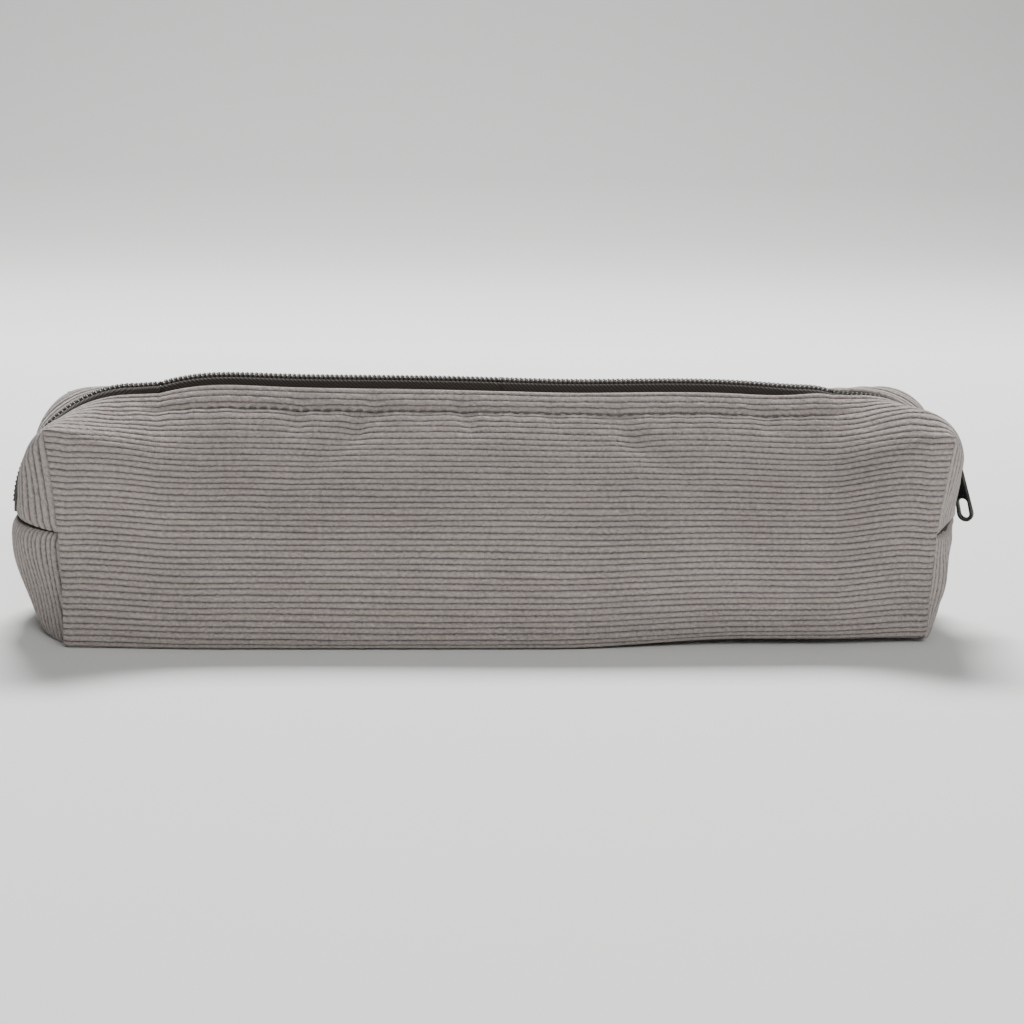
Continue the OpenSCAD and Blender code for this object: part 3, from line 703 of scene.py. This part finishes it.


# The groove colour is the cloth's darker groove tone, deepened with painted shade
CORDUROY = corduroy("corduroy", srgb(171, 161, 155), srgb(86, 78, 82))
CLOTH_BACK = woven(
    "cloth_back", srgb(138, 130, 122), srgb(96, 90, 86), 2.2, roughness=0.9, specular=0.2
)
LINING = woven(
    "lining", srgb(186, 175, 158), srgb(140, 130, 116), 1.9, roughness=0.85, specular=0.25
)
SEAM_EDGE = woven(
    "seam_edge", srgb(128, 121, 114), srgb(88, 82, 78), 1.6, roughness=0.95, specular=0.15
)
TAPE = twill_tape()
NYLON = nylon()
THREAD = sewing_thread()
FOAM = foam()
ENAMEL = enamel()
CLOTH = [CORDUROY, CLOTH_BACK]


# The cloth of the front and the back: one sheet from base to zip, cut where the mouth swings


def spread_over(*knots):
    """Shares that run through each knot, given as (value, cells to the next)."""
    pairs = zip(knots[:-1], knots[1:])
    parts = [np.linspace(a, b, n, endpoint=False) for (a, n), (b, _) in pairs]
    return np.concatenate([*parts, [knots[-1][0]]])


MOUTH_S = MOUTH / HALF_TOP
SIDES = spread_over((-1, 24), (-MOUTH_S, 60), (0, 60), (MOUTH_S, 24), (1, 0))
LIP_ROWS, WALL_ROWS = 110, 260
SHARES = spread_over((1.0, LIP_ROWS), (CREASE, WALL_ROWS), (0.0, 0))
FIRST, MIDDLE, LAST = 24, 84, 144
LIP_SPANS = {"left": (FIRST, MIDDLE, -1), "right": (MIDDLE, LAST, 1)}
SIDE_NAMES = {"front": -1, "back": 1}


def swing(obj, name, sign):
    """Bakes the placing of half a lip into its mesh."""
    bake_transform(obj)


def cord_number(x, t, across, below):
    """Count of cords from the zip: some to the line that ends in the corners, the others below."""
    corner_t = mix(0.765, CREASE, np.clip(np.abs(x) / 104, 0, 1) ** 9)
    t = np.broadcast_to(t, across.shape)
    line = np.stack([np.interp(c, r[::-1], a[::-1]) for c, r, a in zip(corner_t, t, across)])
    over = TOP_CORDS * across / line
    under = TOP_CORDS + WALL_CORDS * (across - line) / (below - line)
    return np.where(across < line, over, under)


# Normals, cord counts and shading normals of each whole sheet, for its shoulders to carry on
SHEETS = {}


def sheet_numbers(side, x):
    """Count of cords over the lip's share of a whole sheet, a row of them for each row of x."""
    field = SHEETS[side][1][:, : LIP_ROWS + 1]
    columns = range(LIP_ROWS + 1)
    return np.stack([np.interp(x[:, k], SIDES * HALF_TOP, field[:, k]) for k in columns], 1)


def keep_normals(piece, facing):
    """Shades the outer face as part of the whole sheet, so that a cut leaves no line."""
    own = np.zeros((len(piece.data.vertices), 3))
    own[: facing.size // 3] = facing.reshape(-1, 3)
    piece.data.normals_split_custom_set_from_vertices(own.tolist())


def make_walls_and_lips(name, side):
    grid = skin(SIDES[:, None], SHARES[None, :], side)
    out = outward(grid)
    across = arcs(grid, 1)
    along = grid[..., 0]
    number = cord_number(along, SHARES, across, across[:, -1:])
    end = HALF_TOP - np.abs(SIDES[:, None] * HALF_TOP) + 0 * across
    from_foot = across[:, -1:] - across
    whole = ribbed(grid, out, along, number, [(from_foot, *FOOT_ROLL), (across, *ZIP_ROLL)])[0]
    facing = outward(whole)
    SHEETS[side] = (out, number, facing)
    wall = np.s_[:, LIP_ROWS:]
    edges = [(end[wall], *CORNER_ROLL), (from_foot[wall], *FOOT_ROLL)]
    title = f"{name}_wall_cloth"
    fields = (field[wall] for field in (grid, out, along, number))
    piece = cloth_shell(title, *fields, edges, SHEET_COARSE)
    keep_normals(piece, facing[wall])
    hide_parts(f"{name}_wall")
    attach(piece, "case")
    for half, (a, b, sign) in LIP_SPANS.items():
        lip = np.s_[a : b + 1, : LIP_ROWS + 1]
        edges = [(across[lip], *ZIP_ROLL)]
        title = f"{name}_lip_cloth_{half}"
        fields = (field[lip] for field in (grid, out, along, number))
        piece = cloth_shell(title, *fields, edges, SHEET_COARSE)
        keep_normals(piece, facing[lip])
        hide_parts(f"lip_{name}")
        swing(piece, name, sign)


# The shoulders: from the mouth along the top, round the bend and down to the seam across the end


CORNER_R = 2.0
# The right shoulders are drawn in towards the seam
RIGHT_DRAW_IN = 2.4


def shoulder_grid(end, side, runs, shares):
    """Outer face of one shoulder. Rows run along the cords, over the top, the bend and the end."""
    tape_x, bend_r = BENDS[end]
    draw_in = RIGHT_DRAW_IN if end > 0 else 0.0
    edge_rise = TAPE_DEPTH if end > 0 else TAPE_DEPTH - LEFT_SINK
    columns = []
    for t in shares:
        c = (t - CREASE) / (1 - CREASE)
        end_x = mix(HALF_TOP, tape_x + edge_rise, 1 - (1 - c) ** 2)
        r = mix(CORNER_R, bend_r + edge_rise, c)
        bend_s = (end_x - r) / HALF_TOP
        s = mix(MOUTH_S, bend_s, np.linspace(0, 1, runs[0], endpoint=False))
        flat = skin(end * s, t, side)
        top = skin(end * bend_s, t, side)
        top_x, top_z = abs(top[0]), top[2]
        low_z = SEAM_Z + 0.15
        turn = math.acos(max(0.0, (low_z + 0.5 - top_z + r) / r))
        k = np.linspace(0, 1, runs[1] + 1)
        end_y = side * mix(END_Y, SLOT, c)
        bent_x, bent_z = top_x + r * np.sin(turn * k), top_z - r + r * np.cos(turn * k)
        bent = stack(bent_x, mix(top[1], end_y, k), bent_z)
        z = mix(bent[-1, 2], low_z, np.linspace(0, 1, runs[2] + 1)[1:])
        x = bent[-1, 0] - (corner_x(bent[-1, 2]) - corner_x(z)) * (1 - c)
        down = stack(x, end_y, z)
        turned = np.concatenate([bent, down])
        weight = 4 * c * (1 - c) * draw_in
        turned[:, 0] -= weight * ramp(46, 29, turned[:, 2])
        turned[:, 0] *= end
        columns.append(np.concatenate([flat, turned]))
    return np.stack(columns, 1)


def end_folds(grid, end, side, strength):
    """Crumples an end: small slanted dents that fade at its seams."""
    y, z = grid[..., 1], grid[..., 2]
    wave = np.sin(y / 4.1 + z / 6.3 + end * 1.7) * np.sin(z / 7.9 - y / 9.7 + side)
    wave = wave + 0.6 * np.sin(y / 2.3 - z / 3.9 + 2.2 * end)
    free = ramp(END_Y, END_Y - 6, np.abs(y))
    return strength * wave * free


# Rows of a shoulder over the top, round the bend and down the end
SHOULDER_ROWS = (14, 18, 10)
FLAT_ROWS = SHOULDER_ROWS[0]
# The first rows take their normals from the sheet, in these shares
JOINED = np.array([1.0, 0.6, 0.3])[:, None, None]
# Crumples of the shoulders and of the lower left (-1) and right (1) end
SHOULDER_CRUMPLE = 0.3
END_CRUMPLE = {-1: 0.45, 1: 1.0}


def make_shoulder(end_name, end, name, side):
    shares = SHARES[: LIP_ROWS + 1]
    grid = shoulder_grid(end, side, SHOULDER_ROWS, shares)
    over_edge = ramp(50, 42, grid[..., 2]) * ramp(SEAM_Z, SEAM_Z + 4, grid[..., 2])
    grid[..., 0] += end * end_folds(grid, end, side, SHOULDER_CRUMPLE) * over_edge
    cut = LAST if end > 0 else FIRST
    sheet_out, _, sheet_facing = (field[cut, : LIP_ROWS + 1] for field in SHEETS[side])
    out = outward(grid)
    out[: len(JOINED)] = unit(mix(out[: len(JOINED)], sheet_out, JOINED))
    across, along = arcs(grid, 1), arcs(grid, 0)
    number = np.empty(across.shape)
    number[: FLAT_ROWS + 1] = sheet_numbers(side, grid[: FLAT_ROWS + 1, :, 0])
    turned = across[FLAT_ROWS:] / across[FLAT_ROWS:, -1:] * TOP_CORDS
    share = np.linspace(0, 1, len(turned))[:, None] ** 0.5
    number[FLAT_ROWS:] = mix(number[FLAT_ROWS], turned, share)
    from_corner = across[:, -1:] - across
    on_end = ramp(50, 44, grid[..., 2])
    from_seam = along[-1:] - along
    edges = [
        (across, *ZIP_ROLL),
        (from_corner + 3 * (1 - on_end), *CORNER_ROLL),
        (from_seam, *SEAM_ROLL),
    ]
    along_uv = end * (MOUTH + along)
    title = f"{end_name}_shoulder_{name}_cloth"
    piece = cloth_shell(title, grid, out, along_uv, number, edges, END_COARSE)
    facing = outward(ribbed(grid, out, along_uv, number, edges)[0])
    facing[: len(JOINED)] = unit(mix(facing[: len(JOINED)], sheet_facing, JOINED))
    keep_normals(piece, facing)
    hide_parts(f"{end_name}_shoulder_{name}")
    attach(piece, "case")


def end_bulge(end, w, z):
    """How far a lower end stands out, by share of the half width and height."""
    return SWELLS[end] * (1 - FOOT_TUCK * (1 - z / SEAM_Z) ** 2) * (1 - np.abs(w) ** END_POWER)


def lower_end(end, low, high, width, rows, cols):
    """Outer face of the lower half of an end, rows upwards and columns across."""
    z = np.linspace(low, high, rows)[:, None]
    w = width * np.linspace(-1, 1, cols)[None, :]
    x = corner_x(z) + end_bulge(end, w, z)
    rise = lift(end * x) * ramp(0.2, -1.0, w) * (1 - z / SEAM_Z) ** 2
    return stack(end * x, w * END_Y, z + rise)


LOW_ROWS, LOW_COLS = 37, 286


def make_lower_end(end_name, end):
    """Lower end panel, drawn to the shoulders' edge at the seam."""
    grid = lower_end(end, 0.0, SEAM_Z - 0.05, 1.0, LOW_ROWS, LOW_COLS)
    shares = np.linspace(1, CREASE, 24)
    edges = [shoulder_grid(end, side, (2, 8, 4), shares)[-1] for side in (-1, 1)]
    meet = np.concatenate([edges[0][::-1], edges[1]])
    seam_x = np.interp(grid[..., 1], meet[:, 1], np.abs(meet[:, 0]))
    to_seam = np.clip((grid[..., 2] - SEAM_Z + 4.5) / 4.5, 0, 1) ** 2.2
    grid[..., 0] = end * mix(np.abs(grid[..., 0]), seam_x, to_seam)
    fade = ramp(0, 5, grid[..., 2]) * ramp(SEAM_Z + 2, SEAM_Z - 8, grid[..., 2])
    grid[..., 0] += end * end_folds(grid, end, 1, END_CRUMPLE[end]) * fade
    height = grid[..., 2]
    across = arcs(grid, 1)
    middle = LOW_COLS // 2
    across = across - across[:, middle : middle + 1]
    side_gap = END_Y - np.abs(grid[..., 1])
    edges = [(side_gap, *CORNER_ROLL), (SEAM_Z - height, *SEAM_ROLL), (height, *END_FOOT_ROLL)]
    number = across / PITCH + 100
    title = f"{end_name}_end_lower_cloth"
    piece = cloth_shell(title, grid, outward(grid), height, number, edges, END_COARSE)
    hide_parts(f"{end_name}_end_lower")
    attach(piece, "case")


# The base


def base_grid(margin, z, rows, cols):
    """Level sheet inside the walls by a margin, rows along X and columns across."""
    u = np.linspace(-1, 1, rows)[:, None]
    v = np.linspace(-1, 1, cols)[None, :]
    out = np.where(u > 0, SWELLS[1], SWELLS[-1]) * (1 - FOOT_TUCK)
    x = u * (HALF_BASE - margin + out * (1 - np.abs(v) ** END_POWER) * np.abs(u) ** 9)
    spread = np.where(v < 0, mix(3.0, 0.4, ramp(*LEFT_TO_RIGHT, x)), 2.4)
    y = v * (HALF_DEPTH - margin + spread * (1 - np.abs(u) ** 8))
    rise = lift(x) * ramp(0.2, -1.0, v)
    return stack(x, y, z + rise)


def make_base():
    grid = base_grid(1.6, 0.0, 73, 251)
    across = arcs(grid, 1)
    edges = [(across, *BASE_ROLL), (across[:, -1:] - across, *BASE_ROLL)]
    out = outward(grid, (0, 0, 10))
    number = across / PITCH
    piece = cloth_shell("base_cloth", grid, out, grid[..., 0], number, edges, SHEET_COARSE)
    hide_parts("base_panel")
    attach(piece, "case")
    layers = (
        ("base_padding", "padding_base", 5.0, PADDING_DEPTH, PADDING_T, FOAM, "padding"),
        ("base_lining", "lining_base", 5.4, LINING_DEPTH, LINING_T, LINING, "lining"),
    )
    for title, node, margin, depth, thickness, mat, slot in layers:
        piece = slab(title, base_grid(margin, depth, 37, 15), thickness, mat, slot)
        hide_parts(node)
        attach(piece, "case")


def slab(name, grid, thickness, mat, slot):
    """Level layer that stands on a grid."""
    uv = np.stack([arcs(grid, 0), arcs(grid, 1)], -1)
    return shell(name, grid, grid + np.array([0, 0, thickness]), uv, [mat], slot)


# Padding, linings and turned-in seam edges


# Shares of the way up, from the zip at 1, that each layer of a side covers
PADDING_SHARES = np.linspace(0.635, 0.1, 25)
LINING_SHARES = np.linspace(0.69, 0.1, 31)
LIP_LINING_SHARES = np.linspace(0.975, 0.655, 19)


def make_wall_layers(name, side):
    margin = 1 - LAYER_MARGIN / HALF_TOP
    wide = np.linspace(-margin, margin, 81)[:, None]
    padding = skin(wide, PADDING_SHARES[None, :], side)
    piece = plain_shell(f"{name}_padding", padding, PADDING_DEPTH, PADDING_T, [FOAM], "padding")
    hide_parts(f"padding_{name}")
    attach(piece, "case")
    lining = skin(wide, LINING_SHARES[None, :], side)
    piece = plain_shell(f"{name}_lining", lining, LINING_DEPTH, LINING_T, [LINING], "lining")
    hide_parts(f"lining_{name}")
    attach(piece, "case")
    for half, (a, b, sign) in LIP_SPANS.items():
        lip = skin(SIDES[a : b + 1 : 2][:, None], LIP_LINING_SHARES[None, :], side)
        title = f"{name}_lip_lining_{half}"
        piece = plain_shell(title, lip, LIP_LINING_DEPTH, LINING_T, [LINING], "lining")
        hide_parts(f"lip_lining_{name}")
        swing(piece, name, sign)


def join_meshes(name, parts):
    """One piece out of several new ones."""
    with bpy.context.temp_override(active_object=parts[0], selected_editable_objects=parts):
        bpy.ops.object.join()
    parts[0].name = name
    parts[0].data.name = name
    return parts[0]


# Share of an end's width that its lining and its seam edge take up
END_LINING_W, SEAM_EDGE_W = 0.84, 0.7
# Corner strips, as distances from the outer side of the end
STRIP_FROM, STRIP_TO = 1.6, 5.4


def make_end_layers(end_name, end):
    low = lower_end(end, LINING_FOOT, SEAM_Z - 0.4, END_LINING_W, 9, 25)
    parts = [plain_shell("lower", low, END_LINING_DEPTH, LINING_T, [LINING], "lining")]
    for side in (-1, 1):
        grid = shoulder_grid(end, side, (4, 12, 5), np.linspace(0.975, 0.79, 9))
        parts.append(plain_shell("upper", grid, END_LINING_DEPTH, LINING_T, [LINING], "lining"))
    piece = join_meshes(f"{end_name}_end_lining", parts)
    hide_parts(f"lining_{end_name}_end")
    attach(piece, "case")
    edge = lower_end(end, SEAM_Z - 6.3, SEAM_Z - 0.5, SEAM_EDGE_W, 7, 25)
    piece = plain_shell(f"{end_name}_seam_edge", edge, EDGE_DEPTH, EDGE_T, [SEAM_EDGE], "seam_edge")
    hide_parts(f"seam_edge_{end_name}")
    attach(piece, "case")


def make_corner_edges():
    parts = []
    for end in (-1, 1):
        for side in (-1, 1):
            whole = lower_end(end, LINING_FOOT, SEAM_Z - 0.5, 1.0, 9, 2)
            z = whole[:, :1, 2]
            w = np.linspace(1 - STRIP_FROM / END_Y, 1 - STRIP_TO / END_Y, 4)[None, :]
            grid = stack(end * (corner_x(z) + end_bulge(end, w, z)), side * w * END_Y, z)
            parts.append(plain_shell("strip", grid, EDGE_DEPTH, EDGE_T, [SEAM_EDGE], "seam_edge"))
    piece = join_meshes("corner_seam_strips", parts)
    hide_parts("corner_seam_edges")
    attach(piece, "case")


# The zip: tape, coils and the row of stitches beside it


TAPE_SHARES = np.array([0.87, 0.89, 0.91, 0.93, 0.95, 0.97, 0.985, 1.0])
TAPE_EDGE = 2.25


def under_cloth(cloth_face):
    """Middle of the tape where it lies against the inner face of the cloth."""
    return cloth_face - outward(cloth_face) * (TAPE_DEPTH + TAPE_GAP)


def tape_to_coil(under, coil_edge):
    """Tape under the cloth with its free part, that crosses to the coil."""
    free = [mix(under[:, -1], coil_edge, k) for k in TAPE_CROSSING]
    return np.concatenate([under, np.stack(free, 1)], 1)


def make_mouth_tape(name, side):
    for half, (a, b, sign) in LIP_SPANS.items():
        s = SIDES[a : b + 1]
        under = under_cloth(skin(s[:, None], TAPE_SHARES[None, :], side))
        x = s * HALF_TOP
        grid = tape_to_coil(under, stack(x, side * TAPE_EDGE, zip_z(x) - 0.1))
        piece = plain_shell(f"{name}_tape_{half}", grid, -TAPE_T / 2, TAPE_T, [TAPE], "zip_tape")
        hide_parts(f"tape_{name}")
        swing(piece, name, sign)


def zip_path(end, distance):
    """Middle line of the zip over an end and its outward direction, by distance from the mouth."""
    tape_x, bend_r = BENDS[end]
    centre_x = tape_x - bend_r
    centre_z = ZIP_Z - bend_r
    straight = centre_x - MOUTH
    turn = np.clip((distance - straight) / bend_r, 0, math.pi / 2)
    after = np.clip(distance - straight - bend_r * math.pi / 2, 0, None)
    x = MOUTH + np.minimum(distance, straight) + bend_r * np.sin(turn)
    wave = zip_wave(end * np.minimum(x, centre_x)) * ramp(tape_x, centre_x, x)
    z = centre_z + bend_r * np.cos(turn) - after + wave
    return stack(end * x, 0, z), stack(end * np.sin(turn), 0, np.cos(turn))


def end_length(end):
    """Length of the zip from the mouth's end down to the seam across the end."""
    distance = np.linspace(0, 80, 801)
    z = zip_path(end, distance)[0][:, 2]
    return float(distance[np.argmax(z < SEAM_Z + 0.5)])


def make_end_tape(end_name, end):
    parts = []
    for side in (-1, 1):
        under = under_cloth(shoulder_grid(end, side, (6, 18, 6), TAPE_SHARES))
        zip_points = zip_path(end, np.linspace(0, 80, 1601))[0]
        gaps = under[:, -1, None, ::2] - zip_points[None, :, ::2]
        coil_edge = zip_points[np.argmin(np.sum(gaps**2, -1), axis=1)]
        coil_edge[:, 1] = side * TAPE_EDGE
        grid = tape_to_coil(under, coil_edge)
        thickness = TAPE_T if end < 0 else RIGHT_TAPE_T
        parts.append(plain_shell("tape", grid, -thickness / 2, thickness, [TAPE], "zip_tape"))
    piece = join_meshes(f"{end_name}_end_tape", parts)
    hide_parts(f"tape_{end_name}_end")
    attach(piece, "case")


def coil_start(first, side, sign):
    """Where a coil begins: the back one runs half a loop behind the front one, towards +X."""
    return first + (0.5 * COIL_PITCH * sign if side > 0 else 0.0)


def loops(count, first, place, side, inner, rise):
    """One coil as a single helix of loops, between its reach and its inner side."""
    turns = np.arange(count * LOOP_POINTS + 1) / LOOP_POINTS
    angle = 2 * np.pi * turns
    centre_y, half_y = (COIL_REACH + inner) / 2, (COIL_REACH - inner) / 2 - WIRE_R
    at, out = place(first + turns * COIL_PITCH)
    y = side * (centre_y + half_y * np.cos(angle))
    return at + stack(0, y, 0) + out * (rise * np.sin(angle))[:, None]


def core(count, first, place, side, inner):
    """The filler cord that runs through a coil."""
    at, _ = place(first + np.linspace(0, count, count) * COIL_PITCH)
    return at + stack(0, side * ((COIL_REACH + inner) / 2 + CORE_SHIFT), 0)


def mouth_line(sign):
    """The zip's line over one half of the mouth, like zip_path, by distance from the middle."""

    def place(distance):
        x = sign * distance
        slope = zip_z(x + 0.5) - zip_z(x - 0.5)
        return stack(x, 0, zip_z(x)), unit(stack(-slope, 0, 1.0))

    return place


def make_mouth_coils(name, side):
    for half, (_, _, sign) in LIP_SPANS.items():
        first = coil_start(MOUTH_COIL_START, side, sign)
        helix = loops(COIL_LOOPS, first, mouth_line(sign), side, COIL_INNER, COIL_RISE)
        filler = core(COIL_LOOPS, first, mouth_line(sign), side, COIL_INNER)
        coil = tube_mesh("wire", [helix], MOUTH_WIRE_R, 8, [NYLON], "zip_coil")
        cord = tube_mesh("core", [filler], CORE_R, 6, [TAPE], "zip_coil")
        piece = join_meshes(f"{name}_coil_{half}", [coil, cord])
        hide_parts(f"coil_{name}")
        swing(piece, name, sign)


def make_end_coils(end_name, end):
    inner, rise, wire_r, core_r = COIL_INNER, COIL_RISE, WIRE_R, CORE_R
    if end > 0:
        inner, rise = RIGHT_COIL_INNER, RIGHT_COIL_RISE
        wire_r, core_r = RIGHT_WIRE_R, RIGHT_CORE_R
    count = int((end_length(end) - RUN_MARGIN) / COIL_PITCH)

    def place(distance):
        return zip_path(end, distance)

    parts = []
    for side in (-1, 1):
        first = coil_start(END_COIL_START, side, end)
        helix = loops(count, first, place, side, inner, rise)
        filler = core(count, first, place, side, inner)
        parts.append(tube_mesh("wire", [helix], wire_r, 8, [NYLON], "zip_coil"))
        parts.append(tube_mesh("core", [filler], core_r, 6, [TAPE], "zip_coil"))
    piece = join_meshes(f"{end_name}_end_coil", parts)
    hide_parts(f"coil_{end_name}_end")
    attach(piece, "case")


def make_topstitch(name, side):
    """Row of stitches beside the mouth, each a short thread with both ends in the cloth."""
    fine = np.linspace(1, 0.8, 160)
    bury = STITCH_BURY * np.abs(np.linspace(-1, 1, STITCH_POINTS)) ** 3
    for half, (_, _, sign) in LIP_SPANS.items():
        paths = []
        count = int((MOUTH - RUN_MARGIN) / STITCH_STEP)
        for k in range(count):
            start = STITCH_START + k * STITCH_STEP
            x = sign * (start + np.linspace(0, 1, STITCH_POINTS) * STITCH_L)
            seen = STITCH_SEEN[0] < sign * start < STITCH_SEEN[1] or side > 0
            height = (STITCH_OUT if seen else 0.0) - bury
            grid = skin((x / HALF_TOP)[:, None], fine[None, :], side)
            distance = arcs(grid, 1)
            out = outward(grid)
            row = np.argmin(np.abs(distance - STITCH_ARC), axis=1)
            pick = np.arange(len(x))
            paths.append(grid[pick, row] + out[pick, row] * height[:, None])
        piece = tube_mesh(f"{name}_topstitch_{half}", paths, THREAD_R, 8, [THREAD], "thread")
        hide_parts(f"topstitch_{name}")
        swing(piece, name, sign)


def make_object():
    for name, side in SIDE_NAMES.items():
        make_walls_and_lips(name, side)
        make_wall_layers(name, side)
        make_mouth_tape(name, side)
        make_mouth_coils(name, side)
        make_topstitch(name, side)
    for end_name, end in (("left", -1), ("right", 1)):
        make_lower_end(end_name, end)
        make_end_layers(end_name, end)
        make_end_tape(end_name, end)
        make_end_coils(end_name, end)
        for name, side in SIDE_NAMES.items():
            make_shoulder(end_name, end, name, side)
    make_base()
    make_corner_edges()
    for node in ("slider_body", "pull_link", "pull_tab"):
        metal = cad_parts[node]
        metal.data.materials.clear()
        metal.data.materials.append(ENAMEL)


# The picture


# Tones of the floor and of the backdrop, by distance back plus height in metres: painted light that
# is brightest just behind the case and fades up the backdrop
PAINTED_BACKDROP_LIGHT = (
    *((-0.6, 233), (0.0, 233), (0.45, 236), (0.63, 213)),
    *((0.86, 176), (0.98, 160), (1.25, 152)),
)
BEND_STEPS = 16
WORLD_STRENGTH = 0.17


def make_stage():
    """Pale floor that sweeps up into a backdrop, with painted light falloff in its colour."""
    p = Paint("floor", roughness=0.75, specular=0.25)
    coord = p.add("TexCoord")
    split = p.add("SeparateXYZ")
    p.wire(coord.outputs["Object"], split.inputs[0])
    reach = p.math("ADD", split.outputs[1], split.outputs[2])
    # Painted light: the ramp makes the floor brightest behind the case and the backdrop darker
    # higher up
    painted_light_tones = p.add("ValToRGB")
    p.wire(p.span(reach, PAINTED_BACKDROP_LIGHT[0][0], PAINTED_BACKDROP_LIGHT[-1][0], 0, 1), painted_light_tones.inputs[0])
    span = PAINTED_BACKDROP_LIGHT[-1][0] - PAINTED_BACKDROP_LIGHT[0][0]
    while len(painted_light_tones.color_ramp.elements) < len(PAINTED_BACKDROP_LIGHT):
        painted_light_tones.color_ramp.elements.new(0.5)
    for element, (place, tone) in zip(painted_light_tones.color_ramp.elements, PAINTED_BACKDROP_LIGHT):
        element.position = (place - PAINTED_BACKDROP_LIGHT[0][0]) / span
        element.color = srgb(tone, tone + 1, tone - 1)
    p.finish(painted_light_tones.outputs[0])
    wide, near, far, high, bend = 3.0, -1.6, 0.75, 2.2, 0.5
    profile = [(near, 0.0), (far, 0.0)]
    for k in range(1, BEND_STEPS + 1):
        a = math.pi / 2 * k / BEND_STEPS
        profile.append((far + bend * math.sin(a), bend - bend * math.cos(a)))
    profile.append((far + bend, high))
    verts = [(x, y, z) for y, z in profile for x in (-wide, wide)]
    faces = [(2 * k, 2 * k + 1, 2 * k + 3, 2 * k + 2) for k in range(len(profile) - 1)]
    mesh = bpy.data.meshes.new("floor")
    mesh.from_pydata(verts, [], faces)
    for polygon in mesh.polygons:
        polygon.use_smooth = True
    mesh.materials.append(p.mat)
    floor = bpy.data.objects.new("floor", mesh)
    to_scene(floor)
    floor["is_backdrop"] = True


def area_light(name, place, target, size, power):
    """Rectangular light at a place in metres, turned towards a target."""
    light = bpy.data.lights.new(name, "AREA")
    light.shape = "RECTANGLE"
    light.size, light.size_y = size
    light.energy = power
    obj = bpy.data.objects.new(name, light)
    obj.location = place
    direction = Vector(target) - Vector(place)
    obj.rotation_euler = direction.to_track_quat("-Z", "Y").to_euler()
    to_scene(obj)


def make_light():
    world = bpy.data.worlds.new("studio")
    bpy.context.scene.world = world
    world.use_nodes = True
    background = world.node_tree.nodes["Background"]
    background.inputs["Color"].default_value = (0.98, 0.99, 1.0, 1)
    background.inputs["Strength"].default_value = WORLD_STRENGTH
    area_light("top_soft", (0.0, 0.85, 1.2), (0, 0, 0), (0.6, 0.35), 44)
    area_light("front_fill", (0.4, -1.4, 1.0), (0, 0, 0.03), (1.1, 0.6), 16.5)


def make_camera():
    """Camera found from the photograph: its place, three turns and its focal length in pixels."""
    place = (-0.0423, -0.5673, 0.1554)
    yaw, pitch, roll = (math.radians(a) for a in (-4.66, -12.67, -1.29))
    focal_px, picture_px, sensor = 2301, 1024, 36.0
    turn = Matrix.Rotation(yaw, 3, "Z") @ Matrix.Rotation(pitch, 3, "X")
    turn = turn @ Matrix.Rotation(roll, 3, "Y")
    right, forward, up = turn.col[0], turn.col[1], turn.col[2]
    camera = bpy.data.cameras.new("camera")
    camera.sensor_width = sensor
    camera.lens = sensor * focal_px / picture_px
    obj = bpy.data.objects.new("camera", camera)
    axes = Matrix((right, up, -forward)).transposed()
    obj.matrix_world = Matrix.Translation(place) @ axes.to_4x4()
    to_scene(obj)
    bpy.context.scene.camera = obj


make_object()
make_stage()
make_light()
make_camera()
visual_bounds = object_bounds()
boxes = {"cad": cad_bounds, "visual": visual_bounds}
{k: [[float(c) for c in corner] for corner in b] for k, b in boxes.items()}
